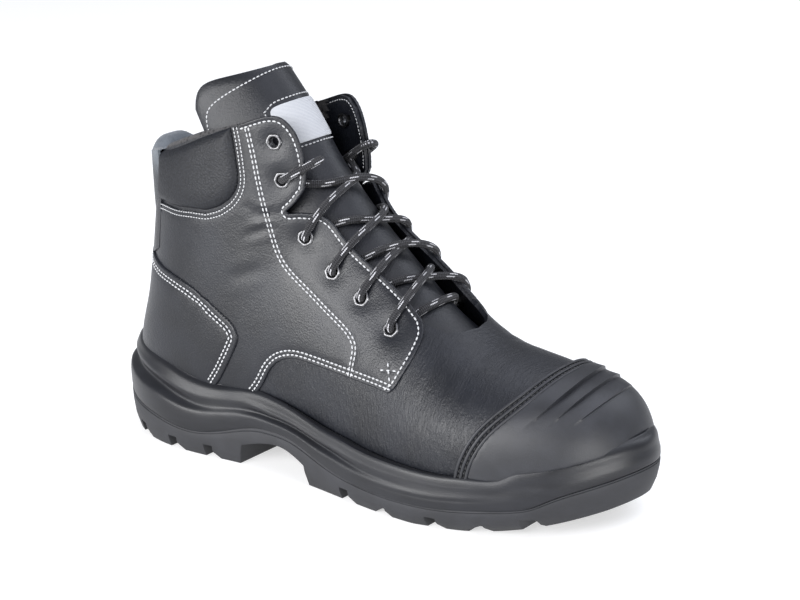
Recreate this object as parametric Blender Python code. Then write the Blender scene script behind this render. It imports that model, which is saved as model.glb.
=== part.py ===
"""Lace-up safety boot for the right foot, standing empty on its sole.

The toe points along +X, the inner (medial) side is +Y and +Z is up. The origin is on the floor
under the middle of the boot's box. Sizes are in millimetres and become metres in make_object.
"""

import math

import bmesh
import bpy
import numpy as np

MM = 0.001
MERGE_DISTANCE = 0.02
SHARP_ANGLE = math.radians(35)

# Driving sizes of the boot
HEEL_BACK = -157.0
TOE_TIP = (158.0, 8.0)
WALL = 2.4
GAP = 0.35
OVERLAY_GAP = 0.7
CUP_GAP = 0.95
UPPER_LIFT = 1.0
INSOLE_THICKNESS = 5.0
INSOLE_CLEARANCE = 1.4
TONGUE_THICKNESS = 4.0
LACE_RADIUS = 2.2

# Outline of the sole at its widest level: where along the boot, and how far out on each side
# Columns: x, lateral, medial
SOLE_ROWS = (
    (-120.0, 39.5, 38.0),
    (-62.0, 42.5, 37.5),
    (-20.0, 45.0, 36.0),
    (30.0, 54.5, 44.5),
    (70.0, 57.5, 52.0),
    (106.0, 51.0, 52.5),
    (136.0, 34.0, 43.0),
)
SOLE_STEPS = 28

# Heights along the boot: the cup's floor, the joint of midsole and outsole, and the rim
LEVEL_COLUMNS = ("x", "floor", "joint", "rim")
LEVEL_ROWS = (
    (-156.0, 31.0, 18.5, 50.5),
    (-140.0, 31.0, 18.8, 49.0),
    (-100.0, 30.5, 14.0, 43.0),
    (-80.0, 29.9, 14.2, 40.5),
    (-50.0, 28.5, 22.3, 42.4),
    (-20.0, 26.0, 22.4, 38.5),
    (10.0, 22.5, 14.0, 32.0),
    (50.0, 19.5, 11.3, 28.6),
    (95.0, 20.0, 14.5, 31.0),
    (118.0, 21.5, 18.6, 38.5),
    (138.0, 24.5, 26.3, 43.5),
    (156.0, 28.0, 32.5, 47.0),
)

# How the tread lifts off the floor behind the heel and under the toe, and is flat between
# Columns: start, run, rise, power
SPRING_ROWS = ((-140.0, -16.0, 5.0, 2.0), (80.0, 76.0, 16.0, 1.75))

# Side walls of the two soles: share of the height from their lower to their upper edge, and how
# far in from the widest outline
# Columns: share, inset
MIDSOLE_WALL = ((0.0, 1.8), (0.14, 0.4), (0.36, 0.0), (0.56, 1.4), (0.70, 0.7), (0.90, 1.8), (1.0, 4.0))
OUTSOLE_WALL = ((1.0, 1.8), (0.75, 0.9), (0.3, 2.2), (0.0, 4.5))
TOE_BEVEL = (105.0, 45.0, 5.0)
CAP_INSET = 10.0
SEAT_INSET = 7.0
SEAT_DEPTH = 5.0

# Underside: the arch between heel breast and forefoot, and the gaps between the edge lugs
# Columns: x, z
ARCH_ROWS = ((-62.0, -2.0), (-58.0, 11.5), (-44.0, 15.0), (-25.0, 16.0), (-13.0, 11.0), (-11.0, -2.0))
# Columns: x, width, depth, inner
LUG_GAP_ROWS = (
    (-132.0, 4.5, 5.0, 13.0),
    (-107.0, 4.5, 5.0, 13.0),
    (-82.0, 4.5, 5.0, 13.0),
    (16.0, 6.0, 6.0, 15.0),
    (45.0, 8.0, 4.0, 15.0),
    (72.0, 6.0, 6.0, 15.0),
    (98.0, 8.0, 4.0, 15.0),
    (119.0, 6.0, 6.0, 15.0),
)
TREAD_CHANNELS = ((-147.0, -62.0), (-2.0, 128.0))
CHANNEL_WIDTH = 7.0
CHANNEL_DEPTH = 4.0

# Sections of the upper, from the toe to the collar. Each lies in a plane through a top point on the
# ridge of the foot and a base point under the sole or on the heel, and is rounded between them.
SECTION_COLUMNS = (
    "top_x", "top_z", "base_x", "base_z", "lateral", "medial", "widest", "round_top", "round_base",
)
SECTION_ROWS = (
    (148.5, 20.0, 148.5, 20.0, 6.5, 6.5, 0.50, 2.2, 2.4),
    (149.0, 41.0, 145.0, 8.0, -9.5, 23.0, 0.50, 2.2, 2.4),
    (145.5, 53.0, 140.0, 3.0, -19.5, 31.0, 0.50, 2.2, 2.5),
    (139.0, 62.0, 132.0, 0.0, -29.0, 37.5, 0.50, 2.2, 2.6),
    (128.5, 68.5, 120.0, -3.0, -37.5, 42.5, 0.50, 2.2, 2.7),
    (113.0, 73.0, 102.0, -4.0, -45.5, 46.0, 0.49, 2.2, 2.8),
    (94.0, 77.0, 78.0, -5.0, -51.0, 47.0, 0.48, 2.2, 2.8),
    (74.0, 82.0, 50.0, -5.0, -51.0, 44.5, 0.47, 2.2, 2.8),
    (57.0, 93.0, 17.0, -2.0, -47.0, 41.0, 0.46, 2.2, 2.7),
    (41.5, 107.5, -22.0, 2.0, -41.5, 39.5, 0.45, 2.2, 2.6),
    (26.5, 121.5, -65.0, 6.0, -39.0, 39.5, 0.44, 2.2, 2.5),
    (13.5, 133.5, -106.0, 9.0, -38.5, 39.0, 0.44, 2.2, 2.4),
    (5.0, 145.5, -137.0, 16.0, -38.0, 38.5, 0.44, 2.2, 2.2),
    (0.0, 156.0, -145.5, 42.0, -37.5, 38.0, 0.44, 2.3, 2.1),
    (-3.0, 165.0, -140.5, 68.0, -37.0, 37.0, 0.44, 2.3, 2.0),
    (-6.0, 174.0, -136.5, 95.0, -36.5, 36.5, 0.44, 2.3, 2.0),
    (-8.0, 182.0, -133.5, 122.0, -36.0, 36.0, 0.44, 2.3, 2.0),
    (-10.0, 194.0, -131.0, 151.0, -35.5, 35.5, 0.44, 2.3, 2.0),
)
LAST_SECTION = len(SECTION_ROWS) - 1
UPPER_STEPS = 9
HEEL_STEPS = (0.8, 0.5, 0.3, 0.16, 0.06, 0.01)

# Edge of the throat: section, and turn from the ridge in degrees. The sharp rise is the flex notch.
# Columns: section, turn
THROAT_ROWS = (
    (7.55, 0.0), (7.65, 12.0), (7.85, 21.0), (8.2, 27.0), (8.6, 30.0), (9.8, 33.0), (11.5, 34.5),
    (12.95, 40.0), (13.37, 54.0), (13.8, 46.0), (14.8, 43.5), (15.9, 45.0), (16.5, 49.5), (16.85, 56.0),
    (17.0, 63.0),
)

# Tongue: its middle line from under the vamp to its top, its half width and how far its edges fall
# Columns: x, z, half, fall
TONGUE_ROWS = (
    (74.0, 74.0, 21.0, 7.0),
    (60.0, 80.5, 24.0, 12.0),
    (45.0, 90.0, 26.0, 19.0),
    (30.0, 102.5, 26.5, 23.0),
    (15.0, 116.0, 26.5, 24.0),
    (0.0, 129.5, 26.5, 24.0),
    (-14.5, 145.5, 27.5, 25.0),
    (-28.0, 162.5, 29.0, 29.0),
    (-40.5, 180.5, 29.5, 34.0),
    (-57.0, 201.5, 30.5, 38.0),
)
TONGUE_SPREAD = math.radians(80)
TONGUE_EARS = (0.06, 0.05)

# Toe cap: the section of its seam on the ridge and how much further back it is at the sole
TOE_CAP_SEAM = (5.03, 0.95)
TOE_CAP_THICKNESS = 2.0

# Heel counter: the sections of its front edge at the sole and at its corner, the corner's place
# and the rise of its top edge towards the back
COUNTER_FRONT = (11.05, 11.44)
COUNTER_CORNER = (-62.0, 69.0)
COUNTER_RISE = 0.444
COUNTER_THICKNESS = 1.6

# Collar pad: its lower seam as turn in degrees and section, and how far it swells
# Columns: turn, section
COLLAR_ROWS = ((76.0, 15.4), (84.0, 15.05), (96.0, 15.05), (128.0, 15.85), (180.0, 16.05))
COLLAR_TOP = 16.97
COLLAR_EDGE = 1.2
COLLAR_SWELL = 2.6
STRAP_HALF_TURN = math.radians(17)
STRAP_START = 15.45
STRAP_RAMP = 0.35
STRAP_THICKNESS = 1.3

# Eyelets, from the top one down: section, and turn from the ridge in degrees
# Columns: section, turn
EYELET_ROWS = ((16.32, 59.0), (14.72, 56.0), (12.19, 49.0), (10.85, 48.5), (9.88, 48.5), (8.91, 48.5))
EYELET_ACROSS = 9.0
EYELET_BARREL = 3.2
EYELET_BORE = 2.5
EYELET_FLANGE = 1.2
EYELET_TAIL = 0.8
HOLE_RADIUS = 3.7
ROUND_STEPS = 12

# Lace: how far the strands stay off the leather, and their many-sided round
LACE_CLEARANCE = 1.4
LACE_SIDES = 6
LACE_LIFT = LACE_RADIUS + LACE_CLEARANCE

# A strand's way up to the next eyelet pair: share of the way and place across the tongue
STRAND_ROWS = ((0.5, 0.0), (0.72, -0.42))
STRAND_EDGE = (0.3, 0.6)
BAR_ACROSS = (-0.42, -0.21, 0.0, 0.21, 0.42)

# A lace end's way round the throat's edge: turn past the edge and height off the upper
LACE_END_ROWS = ((0.0, 4.4), (-0.17, -0.8), (-0.06, -6.0), (0.2, -6.2))


def clear_scene():
    for obj in list(bpy.data.objects):
        bpy.data.objects.remove(obj)


def spline(knots, values, closed=False):
    """A smooth curve through values at knots: natural at its ends, or closed on itself."""
    x = np.asarray(knots, float)
    y = np.asarray(values, float)
    n = len(x)
    h = np.diff(x)
    slopes = np.diff(y, axis=0) / (h if y.ndim == 1 else h[:, None])
    matrix = np.zeros((n, n))
    right = np.zeros_like(y)
    for i in range(1, n - 1):
        matrix[i, i - 1:i + 2] = h[i - 1], 2 * (h[i - 1] + h[i]), h[i]
        right[i] = 6 * (slopes[i] - slopes[i - 1])
    if closed:
        matrix[0, 0], matrix[0, -1] = 1, -1
        matrix[-1, 0], matrix[-1, 1] = 2 * h[0], h[0]
        matrix[-1, -1], matrix[-1, -2] = 2 * h[-1], h[-1]
        right[-1] = 6 * (slopes[0] - slopes[-1])
    else:
        matrix[0, 0] = matrix[-1, -1] = 1
    bend = np.linalg.solve(matrix, right)

    def at(where):
        w = np.asarray(where, float)
        i = np.clip(np.searchsorted(x, w) - 1, 0, n - 2)
        a, b = w - x[i], x[i + 1] - w
        step = h[i]
        if y.ndim > 1:
            a, b, step = a[..., None], b[..., None], step[..., None]
        return (
            (bend[i] * b**3 + bend[i + 1] * a**3) / (6 * step)
            + (y[i] / step - bend[i] * step / 6) * b
            + (y[i + 1] / step - bend[i + 1] * step / 6) * a
        )

    return at


def columns(names, rows, knots=None):
    """One smooth function for each named column, over the first column or over given knots."""
    table = np.array(rows, float)
    knots = table[:, 0] if knots is None else knots
    return {name: spline(knots, table[:, i]) for i, name in enumerate(names)}


def solve(height, low, high):
    """Where a falling function crosses zero, between two bounds, by halving."""
    low, high = np.array(low, float), np.array(high, float)
    for _ in range(40):
        middle = (low + high) / 2
        above = height(middle) > 0
        low, high = np.where(above, middle, low), np.where(above, high, middle)
    return (low + high) / 2


LEVEL = columns(LEVEL_COLUMNS, LEVEL_ROWS)
SECTION = columns(SECTION_COLUMNS, SECTION_ROWS, np.arange(len(SECTION_ROWS)))


def upper_point(section, turn):
    """A point of the upper's outside. turn is 0 on the ridge, negative towards the lateral side,
    positive towards the medial side and half a turn at the base or the back."""
    s = np.clip(section, 0, LAST_SECTION)
    turn = (np.asarray(turn, float) + math.pi) % (2 * math.pi) - math.pi
    col = {name: at(s) for name, at in SECTION.items()}
    long_x, long_z = col["top_x"] - col["base_x"], col["top_z"] - col["base_z"]
    power = np.where(np.abs(turn) < math.pi / 2, 2 / col["round_top"], 2 / col["round_base"])
    cos = np.cos(turn)
    rise = np.sign(cos) * np.abs(cos) ** power
    reach = np.sign(turn) * np.abs(np.sin(turn)) ** power
    share = np.where(rise > 0, 1 - col["widest"], col["widest"])
    along = col["widest"] + share * rise
    middle, half = (col["lateral"] + col["medial"]) / 2, (col["medial"] - col["lateral"]) / 2
    return np.stack(
        [col["base_x"] + long_x * along, middle + half * reach, col["base_z"] + long_z * along], -1
    )


def upper_normal(section, turn):
    """The direction straight out of the upper."""
    step_s, step_t = 0.02, 0.02
    low = np.clip(section, step_s, LAST_SECTION - step_s)
    along = upper_point(low + step_s, turn) - upper_point(low - step_s, turn)
    around = upper_point(low, turn + step_t) - upper_point(low, turn - step_t)
    normal = np.cross(around, along)
    return normal / np.linalg.norm(normal, axis=-1, keepdims=True)


def upper_offset(section, turn, offset):
    """A point at a distance outside the upper, along its normal."""
    section, turn, offset = np.broadcast_arrays(
        np.asarray(section, float), np.asarray(turn, float), np.asarray(offset, float)
    )
    return upper_point(section, turn) + upper_normal(section, turn) * offset[..., None]


def turn_at_level(section, side, level, offset=0.0):
    """The turn, on one side, where a section comes down to a level, or half a turn if it doesn't."""

    def height(turn):
        point = upper_offset(section, side * turn, offset)
        return point[..., 2] - level(point[..., 0])

    section = np.asarray(section, float)
    half_turn = np.full(section.shape, math.pi)
    return np.where(height(half_turn) >= 0, math.pi, solve(height, 0 * section, half_turn))


def sections_at_level(level, offset=0.0):
    """The first section whose ridge is at a level, and the one whose back is."""

    def over(turn, sign):
        def height(section):
            point = upper_offset(section, turn, offset)
            return sign * (point[..., 2] - level(point[..., 0]))

        return height

    first = solve(over(0.0, -1), 0.01, 2.5)
    last = solve(over(math.pi, -1), 10.0, 16.0)
    return float(first), float(last)


def throat_turn(section):
    table = np.array(THROAT_ROWS)
    return np.radians(np.interp(section, table[:, 0], table[:, 1]))


def grid_faces(rows, cols, start=0, stride=None):
    """Quads over a grid of points that are numbered row by row, with stride points in each row."""
    stride = stride or cols
    corners = [start + r * stride + c for r in range(rows - 1) for c in range(cols - 1)]
    return [(i, i + 1, i + stride + 1, i + stride) for i in corners]


def paint(name, colour, roughness, metallic=0.0):
    material = bpy.data.materials.new(name)
    material.use_nodes = True
    shader = material.node_tree.nodes["Principled BSDF"]
    shader.inputs["Base Color"].default_value = (*colour, 1.0)
    shader.inputs["Roughness"].default_value = roughness
    shader.inputs["Metallic"].default_value = metallic
    return material


def box_middle():
    """The middle of the boot's plan, which becomes the origin."""
    outline = np.concatenate(sole_sides(0.0))
    return np.array([*(outline.min(axis=0) + outline.max(axis=0)) / 2, 0.0])


def make_object(name, points, faces, material=None, guide=False):
    """A mesh object in metres from points in millimetres, with meeting points merged."""
    bm = bmesh.new()
    verts = [bm.verts.new(p) for p in (np.array(points) - box_middle()) * MM]
    for face in faces:
        bm.faces.new([verts[i] for i in face])
    bmesh.ops.remove_doubles(bm, verts=bm.verts, dist=MERGE_DISTANCE * MM)
    bmesh.ops.triangulate(bm, faces=bm.faces, quad_method="FIXED")
    bmesh.ops.recalc_face_normals(bm, faces=bm.faces)
    mesh = bpy.data.meshes.new(name)
    bm.to_mesh(mesh)
    bm.free()
    obj = bpy.data.objects.new(name, mesh)
    bpy.context.scene.collection.objects.link(obj)
    if material:
        mesh.materials.append(material)
        mesh.shade_smooth()
        mesh.set_sharp_from_angle(angle=SHARP_ANGLE)
    if guide:
        obj.hide_render = True
        obj.display_type = "WIRE"
    return obj


def cut(obj, cutter, operation="DIFFERENCE"):
    modifier = obj.modifiers.new(cutter.name, "BOOLEAN")
    modifier.operation = operation
    modifier.solver = "EXACT"
    modifier.object = cutter


def thicken(obj, thickness, offset):
    modifier = obj.modifiers.new("thickness", "SOLIDIFY")
    modifier.thickness = thickness * MM
    modifier.offset = offset
    modifier.use_even_offset = True


# Sole


def sole_curve():
    """The sole's outline as a closed curve, and where on it the toe tip and the end are."""
    lateral = [(x, -out) for x, out, _ in SOLE_ROWS]
    medial = [(x, out) for x, _, out in reversed(SOLE_ROWS)]
    points = np.array([(HEEL_BACK, 0.0), *lateral, TOE_TIP, *medial, (HEEL_BACK, 0.0)])
    knots = np.concatenate([[0], np.cumsum(np.sqrt(np.linalg.norm(np.diff(points, axis=0), axis=1)))])
    return spline(knots, points, closed=True), knots[len(lateral) + 1], knots[-1]


def sole_sides(inset, bevel=0.0):
    """Points of the outline from heel to toe on the lateral and the medial side, moved inwards.
    bevel is a share of the further inset beside the ball of the foot."""
    curve, toe, end = sole_curve()
    share = np.linspace(0, 1, SOLE_STEPS + 1)
    sides = []
    for where in (share * toe, end - share * (end - toe)):
        step = 0.01
        tangent = curve((where + step) % end) - curve((where - step) % end)
        tangent /= np.linalg.norm(tangent, axis=1, keepdims=True)
        inwards = np.stack([-tangent[:, 1], tangent[:, 0]], 1)
        middle, reach, depth = TOE_BEVEL
        grown = bevel * depth * np.clip(1 - ((curve(where)[:, 0] - middle) / reach) ** 2, 0, 1)
        sides.append(curve(where) + inwards * (inset + grown)[:, None])
    return sides


def sole_ring(inset, height, bevel=0.0):
    """A closed ring: along the lateral side to the toe and back along the medial side."""
    lateral, medial = sole_sides(inset, bevel)
    ring = np.concatenate([lateral, medial[-2:0:-1]])
    return np.column_stack([ring, height(ring[:, 0])])


def stack_rings(rings):
    """Faces over rings that lie on each other, closed by caps that join the two sides."""
    count = len(rings[0])
    faces = []
    for level in range(len(rings) - 1):
        low, high = level * count, (level + 1) * count
        for i in range(count):
            j = (i + 1) % count
            faces.append((low + i, low + j, high + j, high + i))
    for base in (0, (len(rings) - 1) * count):
        for i in range(SOLE_STEPS):
            left, right = (count - i) % count, count - i - 1
            faces.append(tuple(dict.fromkeys((base + i, base + i + 1, base + right, base + left))))
    return np.concatenate(rings), faces


def between(low, high, share):
    return lambda x: low(x) + share * (high(x) - low(x))


def seat(x):
    """The joint of the two soles inside their edges, kept below the cup's floor."""
    return np.minimum(LEVEL["joint"](x), LEVEL["floor"](x) - SEAT_DEPTH)


def tread(x):
    """The height of the tread's lowest face."""
    lifts = [rise * np.clip((x - start) / run, 0, None) ** power for start, run, rise, power in SPRING_ROWS]
    return sum(lifts)


def make_midsole(form):
    low, high = LEVEL["joint"], LEVEL["rim"]
    rings = [sole_ring(SEAT_INSET, seat)]
    rings += [sole_ring(inset, between(low, high, share)) for share, inset in MIDSOLE_WALL]
    rings.append(sole_ring(CAP_INSET, high))
    midsole = make_object("midsole", *stack_rings(rings), paint("midsole foam", (0.035, 0.036, 0.038), 0.7))
    cut(midsole, form)
    return midsole


def box_faces(start):
    corners = ((0, 1, 3, 2), (4, 6, 7, 5), (0, 4, 5, 1), (2, 3, 7, 6), (0, 2, 6, 4), (1, 5, 7, 3))
    return [tuple(start + i for i in face) for face in corners]


def box_points(low, high):
    return [(x, y, z) for x in (low[0], high[0]) for y in (low[1], high[1]) for z in (low[2], high[2])]


def make_tread_cutters():
    """The gaps between the lugs, as boxes that stay apart from each other."""
    deep = 30.0
    points, faces = [], []
    boxes = []
    for x, width, depth, inner in LUG_GAP_ROWS:
        floor = float(tread(x)) + depth
        for side in (-1, 1):
            near, far = sorted((side * inner, side * 80.0))
            boxes.append(((x - width / 2, near, -deep), (x + width / 2, far, floor)))
    for start, end in TREAD_CHANNELS:
        boxes.append(((start, -CHANNEL_WIDTH / 2, -deep), (end, CHANNEL_WIDTH / 2, CHANNEL_DEPTH)))
    for low, high in boxes:
        faces += box_faces(len(points))
        points += box_points(low, high)
    return make_object("lug_gaps", points, faces, guide=True)


def make_arch_cutter():
    reach = 90.0
    count = len(ARCH_ROWS)
    points = [(x, side * reach, z) for side in (-1, 1) for x, z in ARCH_ROWS]
    faces = [tuple(range(count)), tuple(range(count, 2 * count))]
    faces += [(i, (i + 1) % count, count + (i + 1) % count, count + i) for i in range(count)]
    return make_object("arch_space", points, faces, guide=True)


def make_outsole():
    low, high = tread, lambda x: LEVEL["joint"](x) - GAP
    rings = [sole_ring(SEAT_INSET, lambda x: seat(x) - GAP)]
    for share, inset in OUTSOLE_WALL:
        rings.append(sole_ring(inset, between(low, high, share), (1 - share) ** 2))
    rubber = paint("outsole rubber", (0.03, 0.031, 0.033), 0.6)
    outsole = make_object("outsole", *stack_rings(rings), rubber)
    cut(outsole, make_arch_cutter())
    cut(outsole, make_tread_cutters())
    return outsole


# Upper


def upper_sections():
    """The sections that the upper's mesh runs through, with the throat's corners among them."""
    first, back = sections_at_level(upper_foot)
    regular = np.concatenate([np.arange(0.5, 7.5, 0.5), np.arange(8.6, LAST_SECTION, 0.7)])
    marks = np.array([row[0] for row in THROAT_ROWS])
    regular = [s for s in regular if np.abs(marks - s).min() > 0.2 and not -0.3 < back - s < 0.9]
    heel = back - np.array(HEEL_STEPS)
    return np.array(sorted({first, back, *heel, *marks, *regular}))


def upper_foot(x):
    """The height of the upper's lower edge, just above the cup's floor."""
    return LEVEL["floor"](x) + UPPER_LIFT


def upper_half(sections, side, offset):
    """Points over one side of the upper, from the throat or the ridge down to the sole."""
    top = throat_turn(sections)[:, None]
    low = turn_at_level(sections, side, upper_foot)[:, None]
    turns = side * (top + (low - top) * np.linspace(0, 1, UPPER_STEPS + 1))
    return upper_offset(sections[:, None], turns, offset)


def make_upper(sections):
    """The shell: an outer and an inner grid on each side, joined at throat, sole and collar."""
    rows, cols = len(sections), UPPER_STEPS + 1
    size = rows * cols
    throat = int(np.searchsorted(sections, THROAT_ROWS[0][0]))
    back = int(np.searchsorted(sections, sections_at_level(upper_foot)[1]))
    edges = [(r * cols, (r + 1) * cols) for r in range(throat, rows - 1)]
    edges += [(r * cols + cols - 1, (r + 1) * cols + cols - 1) for r in range(back)]
    edges += [((rows - 1) * cols + c, (rows - 1) * cols + c + 1) for c in range(cols - 1)]
    points, faces = [], []
    for side in (-1, 1):
        start = len(points)
        for offset in (0.0, -WALL):
            faces += grid_faces(rows, cols, len(points))
            points += list(upper_half(sections, side, offset).reshape(-1, 3))
        faces += [(start + a, start + b, start + size + b, start + size + a) for a, b in edges]
    return make_object("upper", points, faces, paint("upper leather", (0.02, 0.02, 0.021), 0.45))


def make_upper_form(sections):
    """The closed space that the upper takes up in the midsole, down to the cup's floor."""
    rows, cols = len(sections), UPPER_STEPS + 2
    size = rows * cols
    back = int(np.searchsorted(sections, sections_at_level(upper_foot)[1]))
    halves = []
    for side in (-1, 1):
        half = upper_half(sections, side, CUP_GAP)
        foot = half[:, -1:].copy()
        foot[:back + 1, 0, 2] = LEVEL["floor"](foot[:back + 1, 0, 0])
        halves.append(np.concatenate([half, foot], axis=1))
    faces = []
    for start in (0, size):
        faces += grid_faces(rows, cols - 1, start, cols)
        faces += grid_faces(back + 1, 2, start + cols - 2, cols)
    seams = [(r * cols, (r + 1) * cols) for r in range(rows - 1)]
    seams += [((r + 1) * cols - 1, (r + 2) * cols - 1) for r in range(back)]
    faces += [(a, b, size + b, size + a) for a, b in seams]
    last = (rows - 1) * cols
    mouth = list(range(last, last + cols - 1))
    faces.append((*mouth, *(size + i for i in reversed(mouth))))
    return make_object("upper_form", np.concatenate([h.reshape(-1, 3) for h in halves]), faces, guide=True)


def make_insole():
    """A footbed that fills the floor of the upper."""
    offset = -(WALL + INSOLE_CLEARANCE)
    share = (1 - np.cos(np.linspace(0, math.pi, 25))) / 2
    loops = []
    for lift in (UPPER_LIFT / 2, INSOLE_THICKNESS):
        def level(x, lift=lift):
            return LEVEL["floor"](x) + lift

        first, back = sections_at_level(level, offset)
        sections = first + (back - first) * share
        for side in (-1, 1):
            turns = turn_at_level(sections, side, level, offset)
            turns[0], turns[-1] = 0.0, math.pi
            loops.append(upper_offset(sections, side * turns, offset))
    count = len(share)
    points = np.concatenate(loops)
    faces = []
    for i in range(count - 1):
        for a, b in ((0, 1), (2, 3), (0, 2), (1, 3)):
            faces.append((a * count + i, a * count + i + 1, b * count + i + 1, b * count + i))
    return make_object("insole", points, faces, paint("insole felt", (0.03, 0.03, 0.03), 0.9))


# Tongue


def tongue_point(along, across):
    """A point of the tongue's outer face: along runs from 0 to 1, across from -1 to 1."""
    rows = np.array(TONGUE_ROWS)
    knots = np.linspace(0, 1, len(rows))
    middle = spline(knots, rows[:, :2])
    size = spline(knots, rows[:, 2:])
    ear, corner = TONGUE_EARS
    where = along * (1 + ear * across**2 - corner * across**10)
    step = 0.01
    tangent = middle(where + step) - middle(where - step)
    tangent /= np.linalg.norm(tangent, axis=-1, keepdims=True)
    half, fall = np.moveaxis(size(where), -1, 0)
    angle = across * TONGUE_SPREAD
    drop = fall * (1 - np.cos(angle)) / (1 - math.cos(TONGUE_SPREAD))
    x, z = np.moveaxis(middle(where), -1, 0)
    y = half * np.sin(angle) / math.sin(TONGUE_SPREAD)
    return np.stack([x - tangent[..., 1] * drop, y, z + tangent[..., 0] * drop], -1)


def make_tongue():
    along, across = np.meshgrid(np.linspace(0, 1, 15), np.linspace(-1, 1, 11), indexing="ij")
    points = tongue_point(along, across).reshape(-1, 3)
    leather = paint("tongue leather", (0.02, 0.02, 0.021), 0.5)
    tongue = make_object("tongue", points, grid_faces(*along.shape), leather)
    thicken(tongue, TONGUE_THICKNESS, -1.0)
    return tongue


# Overlays


def slab(name, inner, outer, material):
    """A closed solid between two grids of points with the same rows and columns."""
    rows, cols = inner.shape[:2]
    size = rows * cols
    faces = grid_faces(rows, cols) + grid_faces(rows, cols, size)
    rim = [(r, 0) for r in range(rows)] + [(rows - 1, c) for c in range(1, cols)]
    rim += [(r, cols - 1) for r in range(rows - 2, -1, -1)] + [(0, c) for c in range(cols - 2, 0, -1)]
    ring = [r * cols + c for r, c in rim]
    for a, b in zip(ring, ring[1:] + ring[:1]):
        faces.append((a, b, size + b, size + a))
    return make_object(name, np.concatenate([inner.reshape(-1, 3), outer.reshape(-1, 3)]), faces, material)


def make_toe_cap():
    def level(x):
        return LEVEL["rim"](x) + 2 * GAP

    across = np.linspace(-1, 1, 17)
    first = sections_at_level(level, OVERLAY_GAP)[0] + 0.02
    seam, sweep = TOE_CAP_SEAM
    seam_row = seam + sweep * across**2
    plain_rows = [first, *np.arange(math.ceil(2 * first) / 2, seam - 0.3, 0.5)]
    rows = [np.full_like(across, s) for s in plain_rows] + [(plain_rows[-1] + seam_row) / 2, seam_row]
    sections = np.array(rows)
    side = np.where(across < 0, -1, 1) * np.ones_like(sections)
    turns = across * turn_at_level(sections, side, level, OVERLAY_GAP)
    inner = upper_offset(sections, turns, OVERLAY_GAP)
    outer = upper_offset(sections, turns, OVERLAY_GAP + TOE_CAP_THICKNESS)
    return slab("toe_cap", inner, outer, paint("toe cap rubber", (0.022, 0.022, 0.023), 0.4))


def make_heel_counter():
    """The overlay from the sole's rim up to a sloping edge, round the heel from side to side."""
    share = np.sin(np.linspace(0, math.pi / 2, 10))
    grids = []
    for offset in (OVERLAY_GAP, OVERLAY_GAP + COUNTER_THICKNESS):
        rows = []
        for up in np.linspace(0, 1, 5):
            def level(x, up=up):
                low = LEVEL["rim"](x) + 2 * GAP
                edge = COUNTER_CORNER[1] + (COUNTER_CORNER[0] - x) * COUNTER_RISE
                return low + up * (edge - low)

            front = COUNTER_FRONT[0] + up * (COUNTER_FRONT[1] - COUNTER_FRONT[0])
            sections = front + (sections_at_level(level, offset)[1] - front) * share
            lateral, medial = (
                upper_offset(sections, side * turn_at_level(sections, side, level, offset), offset)
                for side in (-1, 1)
            )
            rows.append(np.concatenate([lateral, medial[-2::-1]]))
        grids.append(np.array(rows))
    return slab("heel_counter", *grids, paint("counter leather", (0.02, 0.02, 0.021), 0.45))


def collar_start(turn):
    """The section of the collar pad's lower seam at a turn, counted on through the back."""
    table = np.array(COLLAR_ROWS)
    return np.interp(180 - np.abs(180 - np.degrees(turn)), table[:, 0], table[:, 1])


def collar_height(section, turn):
    """How far the collar pad stands off the upper."""
    up = np.clip((section - collar_start(turn)) / (COLLAR_TOP - collar_start(turn)), 0, 1)
    front = math.radians(COLLAR_ROWS[0][0])
    along = np.clip((math.pi - np.abs(math.pi - turn)) - front, 0, 0.35) / 0.35
    swell = np.sqrt(np.clip(4 * up * (1 - up), 0, 1)) * np.sqrt(np.sin(along * math.pi / 2))
    return COLLAR_EDGE + COLLAR_SWELL * swell


def make_collar_pad():
    front = math.radians(COLLAR_ROWS[0][0])
    turns = np.linspace(front, 2 * math.pi - front, 21)[None, :]
    up = np.linspace(0, 1, 7)[:, None]
    sections = collar_start(turns) + (COLLAR_TOP - collar_start(turns)) * up
    turns = turns + 0 * sections
    inner = upper_offset(sections, turns, GAP)
    outer = upper_offset(sections, turns, GAP + collar_height(sections, turns))
    return slab("collar_pad", inner, outer, paint("collar leather", (0.025, 0.025, 0.026), 0.6))


def make_back_strap():
    turns = math.pi + STRAP_HALF_TURN * np.linspace(-1, 1, 5)[None, :]
    sections = np.linspace(STRAP_START, COLLAR_TOP, 9)[:, None] + 0 * turns
    turns = turns + 0 * sections
    over_pad = np.clip((sections - collar_start(turns)) / STRAP_RAMP + 1, 0, 1)
    base = GAP + (GAP + collar_height(sections, turns)) * over_pad
    inner = upper_offset(sections, turns, base + GAP)
    outer = upper_offset(sections, turns, base + GAP + STRAP_THICKNESS)
    return slab("back_strap", inner, outer, paint("strap nubuck", (0.06, 0.062, 0.06), 0.9))


# Eyelets


def eyelet_frame(row, side):
    """The middle of an eyelet on the leather, and its outward, downward and sideways directions."""
    section, turn = EYELET_ROWS[row]
    turn = side * math.radians(turn)
    middle = upper_point(np.array(section), np.array(turn))
    out = upper_normal(np.array(section), np.array(turn))
    down = upper_point(np.array(section - 0.1), np.array(turn)) - middle
    down -= out * (down @ out)
    down /= np.linalg.norm(down)
    return middle, out, down, np.cross(out, down)


def ring_around(place, radii, height):
    """Points round an eyelet at a height off the leather, one radius for each step."""
    middle, out, down, across = place
    angles = np.linspace(0, 2 * math.pi, ROUND_STEPS, endpoint=False)
    flat = np.outer(np.cos(angles) * radii, down) + np.outer(np.sin(angles) * radii, across)
    return middle + flat + out * height


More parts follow.
